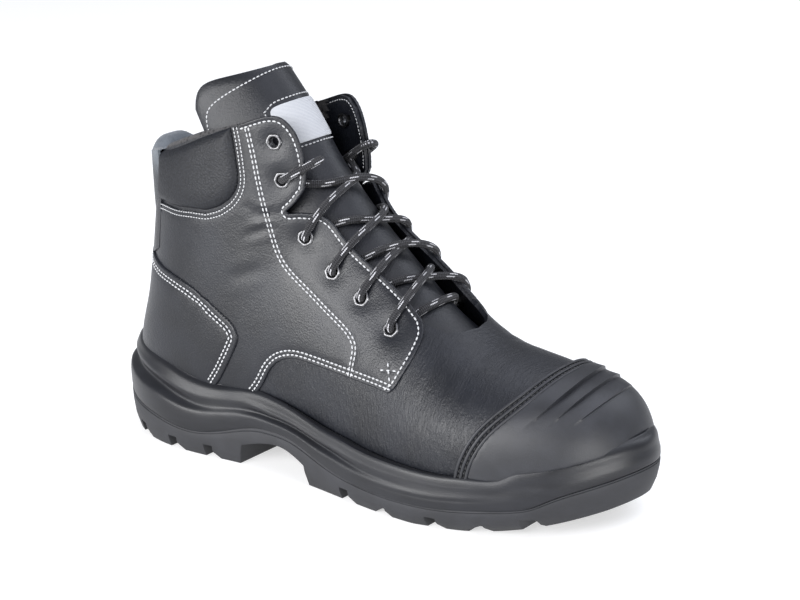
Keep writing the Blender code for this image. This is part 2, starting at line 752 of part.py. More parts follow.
def tube_faces(rings, count, closed, start=0):
    """Faces between neighbouring rings of points, round to the first or with flat ends."""
    faces = []
    for r in range(rings if closed else rings - 1):
        low, high = start + r * count, start + ((r + 1) % rings) * count
        faces += [(low + i, low + (i + 1) % count, high + (i + 1) % count, high + i) for i in range(count)]
    if not closed:
        last = start + (rings - 1) * count
        faces += [tuple(range(start, start + count)), tuple(range(last, last + count))]
    return faces


def make_eyelets():
    metal = paint("eyelet metal", (0.1, 0.1, 0.105), 0.35, 1.0)
    hexagon = EYELET_ACROSS / 2 * np.where(np.arange(ROUND_STEPS) % 2, 1.0, 1 / math.cos(math.pi / 6))
    round_of = np.ones(ROUND_STEPS)
    low, high = -(WALL + EYELET_TAIL), GAP + EYELET_FLANGE
    for side, name in ((-1, "lateral"), (1, "medial")):
        for row in range(len(EYELET_ROWS)):
            place = eyelet_frame(row, side)
            rings = [
                ring_around(place, hexagon, GAP),
                ring_around(place, hexagon, high),
                ring_around(place, EYELET_BORE * round_of, high),
                ring_around(place, EYELET_BORE * round_of, low),
                ring_around(place, EYELET_BARREL * round_of, low),
                ring_around(place, EYELET_BARREL * round_of, GAP),
            ]
            faces = tube_faces(len(rings), ROUND_STEPS, True)
            make_object(f"eyelet_{name}_{row + 1}", np.concatenate(rings), faces, metal)


def make_eyelet_holes():
    """The holes through the upper, as round cutters that stay apart."""
    points, faces = [], []
    for side in (-1, 1):
        for row in range(len(EYELET_ROWS)):
            place = eyelet_frame(row, side)
            faces += tube_faces(2, ROUND_STEPS, False, len(points))
            for height in (-3 * WALL, 2 * WALL):
                points += list(ring_around(place, HOLE_RADIUS * np.ones(ROUND_STEPS), height))
    return make_object("eyelet_holes", points, faces, guide=True)


# Lace


def tube(route, radius):
    """Rings of points along a route, and the faces of the closed tube."""
    route = np.array(route)
    tangents = np.gradient(route, axis=0)
    tangents /= np.linalg.norm(tangents, axis=1, keepdims=True)
    side = np.cross(tangents[0], (0.0, 0.0, 1.0))
    angles = np.linspace(0, 2 * math.pi, LACE_SIDES, endpoint=False)
    points = []
    for middle, tangent in zip(route, tangents):
        side = side - tangent * (side @ tangent)
        side /= np.linalg.norm(side)
        up = np.cross(side, tangent)
        points += list(middle + radius * (np.outer(np.cos(angles), side) + np.outer(np.sin(angles), up)))
    return points, tube_faces(len(route), LACE_SIDES, False)


def tongue_top(section, across):
    """A point that lies on the tongue's outer face under a section of the throat, and its outward
    direction."""
    ridge = upper_point(np.array(section), np.array(0.0))
    along = np.linspace(0.05, 0.95, 181)
    line = tongue_point(along, np.zeros_like(along))
    near = along[np.argmin(np.linalg.norm(line - ridge, axis=1))]
    spot, step = np.array(near), 0.01
    point = tongue_point(spot, np.array(across))
    d_along = tongue_point(spot + step, np.array(across)) - tongue_point(spot - step, np.array(across))
    d_across = tongue_point(spot, np.array(across + step)) - tongue_point(spot, np.array(across - step))
    out = np.cross(d_across, d_along)
    out *= -1 if out[2] < 0 else 1
    return point, out / np.linalg.norm(out)


def smooth_route(points, count):
    """A smooth curve through hand-placed points, as evenly numbered places along it."""
    points = np.array(points)
    knots = np.concatenate([[0], np.cumsum(np.linalg.norm(np.diff(points, axis=0), axis=1))])
    return spline(knots, points)(np.linspace(0, knots[-1], count))


def strand_route(row, side):
    """From over an eyelet, across the facing's edge and the tongue, to the far edge of the throat."""
    section = EYELET_ROWS[row][0]
    above = EYELET_ROWS[row - 1][0]
    middle, out, _, _ = eyelet_frame(row, side)
    start = middle + out * (GAP + EYELET_FLANGE + LACE_LIFT)
    edge_share, edge_rise = STRAND_EDGE
    edge_section = section + edge_share * (above - section)
    edge = upper_offset(edge_section, side * throat_turn(edge_section), LACE_LIFT + edge_rise)
    points = [start, edge]
    for share, across in STRAND_ROWS:
        point, normal = tongue_top(section + share * (above - section), across * side)
        points.append(point + normal * LACE_LIFT)
    return smooth_route(points, 9)


def make_lace():
    cord = paint("lace cord", (0.05, 0.05, 0.055), 0.85)
    for row in range(len(EYELET_ROWS) - 1, 1, -1):
        number = len(EYELET_ROWS) - row
        strand = make_object(f"lace_cross_{number}", *tube(strand_route(row, -1), LACE_RADIUS), cord)
        other = make_object(f"lace_strand_{number}", *tube(strand_route(row, 1), LACE_RADIUS), guide=True)
        cut(strand, other, "UNION")
    ends = []
    for across in BAR_ACROSS:
        point, normal = tongue_top(EYELET_ROWS[-1][0], across)
        ends.append(point + normal * LACE_LIFT)
    make_object("lace_bar", *tube(smooth_route(ends, 7), LACE_RADIUS), cord)
    for side, name in ((-1, "lateral"), (1, "medial")):
        make_lace_end(f"lace_end_{name}", end_route(side), cord)


def end_route(side):
    """From over the second eyelet, across the facing's edge and in between facing and tongue."""
    section = EYELET_ROWS[1][0]
    middle, out, _, _ = eyelet_frame(1, side)
    edge = throat_turn(section)
    route = [middle + out * (GAP + EYELET_FLANGE + LACE_LIFT)]
    route += [upper_offset(section, side * (edge + turn), height) for turn, height in LACE_END_ROWS]
    return smooth_route(route, 10)


def make_lace_end(name, route, cord):
    curve = bpy.data.curves.new(name, "CURVE")
    curve.dimensions = "3D"
    curve.bevel_depth = LACE_RADIUS * MM
    curve.bevel_resolution = 2
    curve.use_fill_caps = True
    line = curve.splines.new("POLY")
    line.points.add(len(route) - 1)
    for point, place in zip(line.points, (route - box_middle()) * MM):
        point.co = (*place, 1.0)
    curve.materials.append(cord)
    obj = bpy.data.objects.new(name, curve)
    bpy.context.scene.collection.objects.link(obj)


def main():
    clear_scene()
    sections = upper_sections()
    make_midsole(make_upper_form(sections))
    make_outsole()
    cut(make_upper(sections), make_eyelet_holes())
    make_insole()
    make_tongue()
    make_toe_cap()
    make_heel_counter()
    make_collar_pad()
    make_back_strap()
    make_eyelets()
    make_lace()


main()
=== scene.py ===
"""Looks of a lace-up safety boot: leather panels, stitching, lace, eyelets and moulded soles.

Sizes in the tables are millimetres in the boot's own measure, with the toe along +X and the lateral
side at -Y. A place on the upper is a pair: its section, counted from the toe to the collar, and its
turn from the ridge of the foot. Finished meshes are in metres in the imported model's frame.
"""

import math

import bmesh
import bpy
import numpy as np
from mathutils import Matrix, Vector
from mathutils.geometry import delaunay_2d_cdt


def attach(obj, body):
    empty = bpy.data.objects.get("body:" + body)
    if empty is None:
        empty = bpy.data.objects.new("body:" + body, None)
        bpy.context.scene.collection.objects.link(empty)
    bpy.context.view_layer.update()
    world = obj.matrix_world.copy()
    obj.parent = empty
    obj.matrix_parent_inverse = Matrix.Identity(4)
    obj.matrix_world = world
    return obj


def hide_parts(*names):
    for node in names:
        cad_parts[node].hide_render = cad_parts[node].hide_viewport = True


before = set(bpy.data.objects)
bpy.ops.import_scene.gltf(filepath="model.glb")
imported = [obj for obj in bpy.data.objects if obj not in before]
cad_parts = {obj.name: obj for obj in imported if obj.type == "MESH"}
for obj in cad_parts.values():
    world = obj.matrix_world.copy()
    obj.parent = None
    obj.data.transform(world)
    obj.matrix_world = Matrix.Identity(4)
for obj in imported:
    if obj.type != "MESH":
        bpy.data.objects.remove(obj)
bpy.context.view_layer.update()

bl_info = {
    "name": "Safety boot looks",
    "version": (1, 0, 0),
    "blender": (4, 5, 0),
    "location": "View3D > Sidebar > Boot",
    "description": "Builds the finished surfaces of a laced safety boot on its packed solids",
    "category": "Object",
}

MM = 0.001
BODY = "root"
SIDES = ((-1, "lateral"), (1, "medial"))

# Outline and heights of the sole
HEEL_BACK = -157.0
TOE_TIP = (158.0, 8.0)
# Columns: x, lateral, medial
SOLE_ROWS = (
    (-120, 39.5, 38),
    (-62, 42.5, 37.5),
    (-20, 45, 36),
    (30, 54.5, 44.5),
    (70, 57.5, 52),
    (106, 51, 52.5),
    (136, 34, 43),
)
# Heights along the boot. Columns: x, z
FLOOR_ROWS = (
    (-156, 31), (-140, 31), (-100, 30.5), (-80, 29.9), (-50, 28.5), (-20, 26),
    (10, 22.5), (50, 19.5), (95, 20), (118, 21.5), (138, 24.5), (156, 28),
)
JOINT_ROWS = (
    (-158, 26), (-150, 22.8), (-140, 19.8), (-128, 18.2), (-116, 16.8), (-104, 14.8),
    (-88, 13.5), (-74, 15.4), (-60, 19.4), (-48, 22.6), (-36, 23.5), (-22, 22.6),
    (-10, 19.4), (4, 15.2), (20, 12.5), (40, 11.3), (60, 11.4), (80, 12.6), (100, 15),
    (114, 16.9), (122, 19), (128, 22.2), (134, 25), (144, 28.5), (157, 33),
)
RIM_ROWS = (
    (-158, 51), (-140, 49.3), (-120, 46.8), (-105, 44), (-92, 41.2), (-80, 40),
    (-68, 40.4), (-50, 42.3), (-36, 41), (-20, 38), (0, 33.2), (10, 31.8), (25, 29.8),
    (50, 28.5), (64, 28.3), (80, 29), (95, 30.4), (104, 31.6), (109, 33.6), (114, 37),
    (120, 38.7), (130, 41), (140, 43.4), (148, 45.6), (157, 47.2),
)
# Columns: start, run, rise, power
SPRING_ROWS = ((-140.0, -16.0, 5.0, 2.0), (80.0, 76.0, 17.8, 1.65))
TOE_BEVEL = (105.0, 45.0, 5.0)
SOLE_STEPS = 130
PLAN_STEPS = 28

# Side walls: share of the height from lower to upper edge, and inset from the widest outline
MIDSOLE_WALL = (
    (0, 0.9), (0.03, 0.6), (0.1, 0.3), (0.3, 0), (0.55, 0.3), (0.75, 0.4), (0.88, 1.1), (0.95, 2.1),
    (1, 3.6),
)
OUTSOLE_WALL = (
    (1, 0.9), (0.97, 0.6), (0.955, 0.6), (0.945, 1.05), (0.93, 1.05), (0.92, 0.55), (0.7, 0.8),
    (0.35, 1.9), (0, 4.2),
)
# How far the midsole's upper half stands back. Columns: x, inset
LIP_ROWS = (
    (-160, 3.8), (-115, 3.4), (-90, 2.4), (-60, 1.2), (-30, 0.9), (60, 0.6), (105, 0),
)
# How round the rim's edge is, and how deep it falls to the leather. Columns: x, share
RIM_ROLL = (
    (-160, 1), (-70, 1), (-25, 0.5), (20, 0.35), (88, 0.35), (104, 0.8), (160, 1),
)
ROLL_INSET = 0.4
# How far the toe's wall leans back over its height. Columns: x, inset at the rim
TOE_DRAFT = ((95.0, 0.0), (120.0, 2.0), (160.0, 2.6))
# Moulded grooves in the midsole. Columns: x, share of the height, depth
HEEL_GROOVE = (
    (-158, 0.56, 2.2), (-110, 0.55, 2.5), (-95, 0.54, 2), (-78, 0.52, 0.9), (-62, 0.5, 0),
)
WAIST_GROOVE = (
    (-74, 0.54, 0), (-58, 0.5, 1.2), (-48, 0.44, 1.9), (-36, 0.4, 2.3), (-22, 0.42, 2.4),
    (-8, 0.47, 2.4), (6, 0.52, 1.9), (30, 0.49, 0.7), (60, 0.47, 0.2), (85, 0.46, 0),
    (100, 0.46, 0),
)
LOW_GROOVE = ((20, 0.24, 0), (50, 0.27, 0.15), (88, 0.30, 0.15), (108, 0.32, 0))
GROOVE_WIDTH = 0.085
FINE_GROOVE = 0.05
# Shares of the height between which the midsole's upper half steps back
LIP_RISE = (0.42, 0.68)
# From the rim's lip to the leather. Columns: height, share of the way
RIM_LEVELS = ((0.3, 0.25), (0.3, 0.45), (-0.3, 0.65), (-1.4, 0.85), (-2.6, 1))
# How far the cup's wall starts below the rim, and its distance from the upper at rim and floor
CUP_DROP = -3.0
CUP_OFFSETS = (-1.0, -1.2)
# How far in the blanks of outsole and midsole end above and below
SOLE_INNER = 9.0

# Underside
ARCH_ROWS = ((-59.5, -2), (-56, 11.5), (-44, 15), (-25, 16), (-13, 11), (-11, -2))
# Columns: x, width, depth, inner end, slope of the lug before it, corner of the lug after it
LUG_GAP_ROWS = (
    (-129, 6, 7, 13, 0, 4.2),
    (-102, 6, 7, 13, 0, 4.2),
    (-78, 5.5, 7, 13, 0, 4),
    (16, 6, 7, 15, 0, 4.2),
    (43.5, 1, 4.2, 15, 6.5, 3.4),
    (71, 6, 6.2, 15, 0, 3.4),
    (97, 1, 4.4, 15, 8, 3.4),
    (119, 7, 6, 15, 1.5, 3),
)
TREAD_CHANNELS = ((-147.0, -62.0), (-2.0, 128.0))
CHANNEL_WIDTH = 7.0
CHANNEL_DEPTH = 4.0

# Sections of the upper, from the toe to the collar
SECTION_COLUMNS = (
    "top_x", "top_z", "base_x", "base_z", "lateral", "medial", "widest", "round_top", "round_base",
)
SECTION_ROWS = (
    (148.5, 20, 148.5, 20, 6.5, 6.5, 0.50, 2.2, 2.4),
    (149, 41, 145, 8, -9.5, 23, 0.50, 2.2, 2.4),
    (145.5, 53, 140, 3, -19.5, 31, 0.50, 2.2, 2.5),
    (139, 62, 132, 0, -29, 37.5, 0.50, 2.2, 2.6),
    (128.5, 68.5, 120, -3, -37.5, 42.5, 0.50, 2.2, 2.7),
    (113, 73, 102, -4, -45.5, 46, 0.49, 2.2, 2.8),
    (94, 77, 78, -5, -51, 47, 0.48, 2.2, 2.8),
    (74, 82, 50, -5, -51, 44.5, 0.47, 2.2, 2.8),
    (57, 93, 17, -2, -47, 41, 0.46, 2.2, 2.7),
    (41.5, 107.5, -22, 2, -41.5, 39.5, 0.45, 2.2, 2.6),
    (26.5, 121.5, -65, 6, -39, 39.5, 0.44, 2.2, 2.5),
    (13.5, 133.5, -106, 9, -38.5, 39, 0.44, 2.2, 2.4),
    (5, 145.5, -137, 16, -38, 38.5, 0.44, 2.2, 2.2),
    (0, 156, -145.5, 42, -37.5, 38, 0.44, 2.3, 2.1),
    (-3, 165, -140.5, 68, -37, 37, 0.44, 2.3, 2),
    (-6, 174, -136.5, 95, -36.5, 36.5, 0.44, 2.3, 2),
    (-8, 182, -133.5, 122, -36, 36, 0.44, 2.3, 2),
    (-10.5, 198, -131, 151, -35.5, 35.5, 0.44, 2.3, 2),
)
LAST_SECTION = len(SECTION_ROWS) - 1
WALL = 2.4
UPPER_LIFT = 1.0
# The shell is lined before this section, and further round than this turn
LINED_BEFORE = 8.0
LINED_BEYOND = math.radians(72)

# Lines on the upper: section, and turn in degrees
THROAT_FRONT = ((7.55, 0), (7.65, 12), (7.85, 21), (8.2, 27.5))
FACING_FRONT = (
    (8.13, 72.6), (8.06, 68), (8.05, 62), (8.07, 50), (8.14, 41), (8.26, 34.5), (8.52, 30.6),
)
FACING_EDGE = (
    (8.52, 30.6), (9.17, 31.4), (9.83, 33), (10.65, 34.4), (11.49, 35), (12.2, 37), (12.62, 41),
)
NOTCH_EDGE = (
    (12.62, 41), (12.91, 46.2), (13.17, 51), (13.33, 54), (13.42, 54.8), (13.5, 53.4),
    (13.62, 49.6), (13.86, 45.6),
)
FACING_TOP = (
    (13.86, 45.6), (14.4, 43.9), (14.9, 43.6), (15.9, 45.2), (16.5, 49.4), (16.82, 55), (16.95, 61),
    (16.98, 68), (16.98, 75),
)
# How much higher the notch lies on the medial side. Columns: section, rise in sections
MEDIAL_NOTCH = ((12, 0), (12.62, 0.47), (13.17, 0.25), (13.42, 0.05), (13.5, 0))
PAD_FRONT = (
    (16.97, 80.2), (16.77, 79.4), (16.42, 78.4), (15.96, 77.4), (15.55, 77), (15.25, 78.2),
    (15.07, 81),
)
PAD_LOW = (
    (15.07, 81), (15.03, 84.5), (15.1, 89), (15.38, 99.5), (15.63, 112), (15.88, 126),
    (16.05, 150), (16.08, 180),
)
WING_EDGE = (
    (10.27, 108), (10.26, 102), (10.29, 96.5), (10.33, 92), (10.29, 88.3), (10.14, 85.6),
    (9.9, 84), (9.6, 82.7), (9.08, 80), (8.54, 76), (8.13, 72.6),
)
FACING_ROW = (
    (16.8, 71.7), (16.5, 70.5), (16.04, 69), (15.06, 66.8), (14.24, 65), (13.4, 62.8),
    (12.54, 60.9), (11.8, 60), (11.12, 60.1), (10.6, 61), (10.15, 62.2), (9.75, 63.2), (9.5, 64.4),
    (9.28, 67.2), (9.15, 72), (9.03, 78),
)
# How far stitch rows lie from the edge they follow
THROAT_STITCH = 2.4
FACING_STITCH = 0.95
WING_STITCHES = (2.0, 4.2)
PAD_STITCHES = (2.3, 4.5)
COUNTER_STITCHES = (3.2, 5.3)
LINING_STITCH = 2.6
# How deep stitches lie in the face of quarter and counter
STITCH_SINK = 0.1
COUNTER_SINK = 0.12
# Size of the fine stitches on collar and tongue, as a share of the others
FINE_STITCH = 0.72
TONGUE_STITCH = 0.85
# How deep stitching pulls the leather in, and how wide
QUARTER_PULL = (0.32, 1.1)
COUNTER_PULL = (0.35, 1.1)
CAP_PULL = (1.2, 0.8)
BARTACK = (((8.5, 66.0), (8.25, 61.5)), ((8.25, 66.5), (8.45, 61.7)))
COUNTER_FRONT = (
    (10.94, 112), (10.97, 105.5), (11.04, 98.7), (11.16, 91.8), (11.33, 88), (11.6, 86),
    (11.95, 86), (12.4, 88),
)
COUNTER_TOP = (
    (12.4, 88), (12.92, 92), (13.45, 100.5), (14.02, 113.6), (14.4, 125.5), (14.85, 143),
    (15.15, 162), (15.25, 180),
)
CAP_SEAM = (
    (6.05, 97), (6.05, 92.1), (6.01, 83.3), (5.88, 69.1), (5.61, 52.5), (5.32, 33.7), (5.17, 14),
    (5.14, 0),
)
# Steps on the toe cap. Columns: section of the ridge, bend, turn of its middle, reach, height, ramp
CAP_STEPS = (
    (4.28, 2.3e-4, -9.0, 54.0, 2.3, 0.62),
    (3.80, 2.2e-4, -6.0, 51.0, 2.2, 0.44),
    (3.20, 2.5e-4, -5.0, 46.0, 1.9, 0.54),
)

# Seam of the toe cap: how far its cords and stitch rows lie from the edge, and how deep
CAP_CORDS = (0.9, 3.5, 6.1)
CAP_HOLES = (2.2, 4.8)
CAP_CORD_RADIUS = 0.85
CAP_CORD_SINK = 0.25
CAP_STITCH_SINK = 0.55

# How far panels reach below the midsole's rim, and the gap between quarter and collar pad
PANEL_LAP = 4.0
CAP_LAP = 3.0
PAD_GAP = 1.6

# Thickness of panels over the shell
QUARTER_HEIGHT = 1.2
COUNTER_HEIGHT = 2.3
CAP_HEIGHT = 2.6
PAD_HEIGHT = 4.1
PAD_EDGE = -0.4
PAD_ROLL = 11.0
PAD_DIP = 0.05
# The lining's roll inside the collar's top. Columns: section, distance out of the shell, lift
COLLAR_ROLL = (
    (16.8, -0.9, 0), (16.93, -0.6, 0.5), (16.97, -1.6, 2.2), (16.97, -3.2, 3), (16.96, -5.2, 2.2),
    (16.85, -6.8, 0.5), (16.5, -7.2, 0), (16, -6.8, 0), (15.5, -5.6, 0), (15, -4.2, 0),
    (14.5, -3, 0), (14.2, -2.2, 0),
)
COLLAR_TOP = 16.97
# How far inside the shell's face the lining starts to swell
ROLL_SEAT = -2.3
ROLL_START = math.radians(78)
ROLL_FULL = math.radians(98)
# Half angle of the strip up the back. Columns: section, degrees
STRIP_ROWS = ((14.6, 47), (15.6, 46), (16.2, 44.5), (16.97, 43))
STRIP_FOOT = 15.75
STRIP_RISE = 3.6
STRIP_THICKNESS = 1.2
# How far the strip's edges turn in
STRIP_EDGE = 2.4
# Half width of the strip's raised middle at the top
STRIP_CREST = math.radians(20)
# How far leather panels stand out where the midsole's rim meets them. Columns: x, distance
SEAT_ROWS = (
    (-160, 2.4), (-66, 2.4), (-56, 1.3), (-46, 0.2), (84, 0.2), (92, 2.7), (160, 2.7),
)
PANEL_FOOT = -0.5

# Bends of the leather: section and turn where a crease starts and ends, depth and width
CREASE_ROWS = (
    (7.15, -16, 7, -62, 0.2, 2.6),
    (6.86, -8, 6.74, -48, 0.24, 2.4),
    (6.58, -18, 6.62, -66, 0.2, 2.6),
    (6.3, 4, 6.34, -40, 0.16, 2.2),
    (7.3, 10, 7.05, 60, 0.2, 2.6),
    (6.95, 6, 6.8, 50, 0.24, 2.4),
    (6.62, 14, 6.66, 64, 0.2, 2.6),
    (7.5, -44, 7.3, -76, 0.2, 3),
    (7.5, 44, 7.3, 76, 0.2, 3),
)
ANKLE_CREASES = (
    (13.5, 57, 14.2, 72, 0.5, 2.4),
    (13.2, 60, 13.6, 74, 0.4, 2.2),
    (14, 66, 14.7, 75, 0.35, 2),
    (12.7, 82, 12.2, 66, 0.35, 3.4),
)

# Tongue. Columns: x, z, half width, fall of the edges
TONGUE_ROWS = (
    (74, 74, 21, 7),
    (60, 80.5, 24, 12),
    (45, 90, 26, 19),
    (30, 102.5, 26.5, 23),
    (15, 116, 26.5, 24),
    (0, 129.5, 26.5, 24),
    (-14.5, 145.5, 27.5, 31),
    (-28, 162.5, 29.5, 41),
    (-40.5, 180.5, 31, 44),
    (-60.5, 204, 30.5, 38.5),
)
TONGUE_SPREAD = math.radians(80)
TONGUE_EARS = (0.06, 0.05)
TONGUE_THICKNESS = 4.0
TONGUE_RIM = 1.2
TONGUE_ROW = (
    (0.8, 0.955), (0.9, 0.955), (0.938, 0.95), (0.955, 0.925), (0.962, 0.87), (0.967, 0.739),
    (0.979, 0.492), (0.988, 0.215), (0.99, 0),
)
LABEL_ALONG = (0.824, 0.924)
LABEL_ACROSS = 0.42
# Stitch row round the label. Columns: along, across
LABEL_ROW = (
    (0.815, 0), (0.815, 0.38), (0.82, 0.435), (0.838, 0.455), (0.905, 0.46), (0.92, 0.445),
    (0.929, 0.365), (0.933, 0.238), (0.934, 0),
)
LABEL_HEIGHT = 0.5
LABEL_LIFT = 0.3
LABEL_SINK = 0.8

# Eyelets, from the top one down: section, and turn in degrees
EYELET_ROWS = ((16.27, 59), (14.72, 56), (12.19, 49), (10.85, 48.5), (9.88, 48.5), (8.91, 48.5))
EYELET_HOLE = 3.1
# How much wider the shell's holes are than the facing's
HOLE_ROOM = 0.3
EYELET_DENT = (1.5, 6.0)
# How far an eyelet stands above its dent, and how far the hexagon's corners reach
EYELET_SEAT = 0.15
EYELET_CORNER = 1.11
# Lathe profile of an eyelet. Columns: radius, height, share of the hexagon
EYELET_PROFILE = (
    (4.05, -0.3, 1), (4.15, 0.35, 1), (3.95, 0.85, 1), (3.6, 1.05, 0.85), (3.15, 1.1, 0.4),
    (2.75, 0.9, 0.1), (2.5, 0.4, 0), (2.45, -4, 0), (2.9, -4.6, 0), (4, -4.4, 0),
    (2.9, -4.1, 0), (2.9, -0.3, 0),
)

# Lace
# Share of the way up to the next eyelet where a strand passes the facing's edge. Columns: lateral, medial
STRAND_EDGE = ((0.1, 0.1), (0.1, 0.1), (0.15, 0.14), (0.17, 0.16), (0.17, 0.08), (0.17, 0.1))
LACE_UNDER = 5.6
# Room between the lace and the tongue, and how much higher a strand lies on another, in radii
LACE_ROOM = 0.5
BAR_ROOM = 0.4
CROSS_LIFT = 1.6
# Where strands cross and where they go under, as shares of the way up, and the latter's place across
CROSS_SHARE = 0.5
UNDER_SHARE = 0.74
UNDER_ACROSS = 0.44
# Over an eyelet's rim: height, and distance towards where the lace goes
LACE_BEND = ((2.0, 0.7), (3.3, 3.1))
LACE_END_ROWS = ((0, 3), (-0.12, 0.9), (-0.165, -2.2), (-0.11, -5.2), (0.04, -6.6), (0.22, -6.6))
BAR_SECTION = 8.68
BAR_ACROSS = (-0.42, -0.21, 0.0, 0.21, 0.42)

# Camera
VIEW_AZIMUTH = math.radians(35.2)
VIEW_ELEVATION = math.radians(17.17)
VIEW_DISTANCE = 1.2
VIEW_TARGET = (14.96, 0.0, 91.84)
VIEW_LENS = 107.68

# Studio
FLOOR_HALF = 4.0
FLOOR_DROP = 0.0002
WORLD_COLOUR = (0.95, 0.98, 1.05, 1.0)
WORLD_STRENGTH = 0.36

# Meshes, in metres
WELD = 0.00001
SLIVER = 0.000001
WORN_EDGE = 0.0005


# Settings that a user would change


class BootSizes(bpy.types.PropertyGroup):
    """Sizes of the boot's trim."""

    lace_diameter: bpy.props.FloatProperty(
        name="Lace diameter", description="Across the round lace", default=0.004, unit="LENGTH"
    )
    stitch_pitch: bpy.props.FloatProperty(
        name="Stitch pitch", description="From one stitch to the next", default=0.0027, unit="LENGTH"
    )
    stitch_length: bpy.props.FloatProperty(
        name="Stitch length", description="Thread that shows in a stitch", default=0.0021, unit="LENGTH"
    )
    stitch_width: bpy.props.FloatProperty(
        name="Thread width", description="Across the sewing thread", default=0.00086, unit="LENGTH"
    )


class BootColours(bpy.types.PropertyGroup):
    """Colours of the boot's materials."""

    leather: bpy.props.FloatVectorProperty(
        name="Leather", description="Smooth upper leather", default=(0.0042, 0.0049, 0.0072), subtype="COLOR"
    )
    collar: bpy.props.FloatVectorProperty(
        name="Collar", description="Padded collar leather", default=(0.0042, 0.0049, 0.0072), subtype="COLOR"
    )
    cap: bpy.props.FloatVectorProperty(
        name="Toe cap", description="Rubbered toe cap", default=(0.0105, 0.0112, 0.014), subtype="COLOR"
    )
    midsole: bpy.props.FloatVectorProperty(
        name="Midsole", description="Moulded foam", default=(0.006, 0.0064, 0.0082), subtype="COLOR"
    )
    outsole: bpy.props.FloatVectorProperty(
        name="Outsole", description="Moulded rubber", default=(0.014, 0.0145, 0.0172), subtype="COLOR"
    )
    thread: bpy.props.FloatVectorProperty(
        name="Thread", description="Pale sewing thread", default=(0.4, 0.405, 0.415), subtype="COLOR"
    )
    nubuck: bpy.props.FloatVectorProperty(
        name="Back strip", description="Nubuck strip", default=(0.078, 0.088, 0.1), subtype="COLOR"
    )
    lining: bpy.props.FloatVectorProperty(
        name="Lining", description="Textile lining", default=(0.034, 0.033, 0.034), subtype="COLOR"
    )
    label: bpy.props.FloatVectorProperty(
        name="Label", description="Woven tongue label", default=(0.33, 0.34, 0.36), subtype="COLOR"
    )
    eyelet: bpy.props.FloatVectorProperty(
        name="Eyelet", description="Dark plated metal", default=(0.12, 0.12, 0.124), subtype="COLOR"
    )
    lace: bpy.props.FloatVectorProperty(
        name="Lace", description="Braided cord", default=(0.011, 0.011, 0.0125), subtype="COLOR"
    )
    fleck: bpy.props.FloatVectorProperty(
        name="Lace fleck", description="Pale yarn in the lace", default=(0.42, 0.42, 0.44), subtype="COLOR"
    )


# Curves and the boot's surfaces


def spline(knots, values, closed=False):
    """A smooth curve through values at knots: natural at its ends, or closed on itself."""
    x = np.asarray(knots, float)
    y = np.asarray(values, float)
    n = len(x)
    h = np.diff(x)
    slopes = np.diff(y, axis=0) / (h if y.ndim == 1 else h[:, None])
    matrix = np.zeros((n, n))
    right = np.zeros_like(y)
    for i in range(1, n - 1):
        matrix[i, i - 1:i + 2] = h[i - 1], 2 * (h[i - 1] + h[i]), h[i]
        right[i] = 6 * (slopes[i] - slopes[i - 1])
    if closed:
        matrix[0, 0], matrix[0, -1] = 1, -1
        matrix[-1, 0], matrix[-1, 1] = 2 * h[0], h[0]
        matrix[-1, -1], matrix[-1, -2] = 2 * h[-1], h[-1]
        right[-1] = 6 * (slopes[0] - slopes[-1])
    else:
        matrix[0, 0] = matrix[-1, -1] = 1
    bend = np.linalg.solve(matrix, right)

    def at(where):
        w = np.asarray(where, float)
        i = np.clip(np.searchsorted(x, w) - 1, 0, n - 2)
        a, b = w - x[i], x[i + 1] - w
        step = h[i]
        if y.ndim > 1:
            a, b, step = a[..., None], b[..., None], step[..., None]
        return (
            (bend[i] * b**3 + bend[i + 1] * a**3) / (6 * step)
            + (y[i] / step - bend[i] * step / 6) * b
            + (y[i + 1] / step - bend[i + 1] * step / 6) * a
        )

    return at


def columns(names, rows):
    """One smooth function of the row's number for each named column."""
    table = np.array(rows, float)
    return {name: spline(np.arange(len(table)), table[:, i]) for i, name in enumerate(names)}


def solve(height, low, high):
    """Where a falling function crosses zero, between two bounds, by halving."""
    low, high = np.array(low, float), np.array(high, float)
    for _ in range(36):
        middle = (low + high) / 2
        above = height(middle) > 0
        low, high = np.where(above, middle, low), np.where(above, high, middle)
    return (low + high) / 2


def smooth_step(value, low, high):
    share = np.clip((value - low) / (high - low), 0, 1)
    return share * share * (3 - 2 * share)


def unit(vectors):
    return vectors / np.linalg.norm(vectors, axis=-1, keepdims=True)


def run_along(points):
    """The distance from the first point to each one, along their line."""
    return np.concatenate([[0], np.cumsum(np.linalg.norm(np.diff(points, axis=0), axis=1))])


def read_rows(rows, where):
    """A value between the rows of a table whose first column rises."""
    return np.interp(where, *np.array(rows).T)


LEVEL = {
    name: spline(*np.array(rows).T)
    for name, rows in (("floor", FLOOR_ROWS), ("joint", JOINT_ROWS), ("rim", RIM_ROWS))
}
SECTION = columns(SECTION_COLUMNS, SECTION_ROWS)


def upper_point(section, turn):
    """A point of the upper's outside. turn is 0 on the ridge, negative towards the lateral side,
    positive towards the medial side and half a turn at the base or the back."""
    s = np.clip(section, 0, LAST_SECTION)
    turn = (np.asarray(turn, float) + math.pi) % (2 * math.pi) - math.pi
    col = {name: at(s) for name, at in SECTION.items()}
    long_x, long_z = col["top_x"] - col["base_x"], col["top_z"] - col["base_z"]
    power = np.where(np.abs(turn) < math.pi / 2, 2 / col["round_top"], 2 / col["round_base"])
    cos = np.cos(turn)
    rise = np.sign(cos) * np.abs(cos) ** power
    reach = np.sign(turn) * np.abs(np.sin(turn)) ** power
    share = np.where(rise > 0, 1 - col["widest"], col["widest"])
    along = col["widest"] + share * rise
    middle, half = (col["lateral"] + col["medial"]) / 2, (col["medial"] - col["lateral"]) / 2
    return np.stack(
        [col["base_x"] + long_x * along, middle + half * reach, col["base_z"] + long_z * along], -1
    )


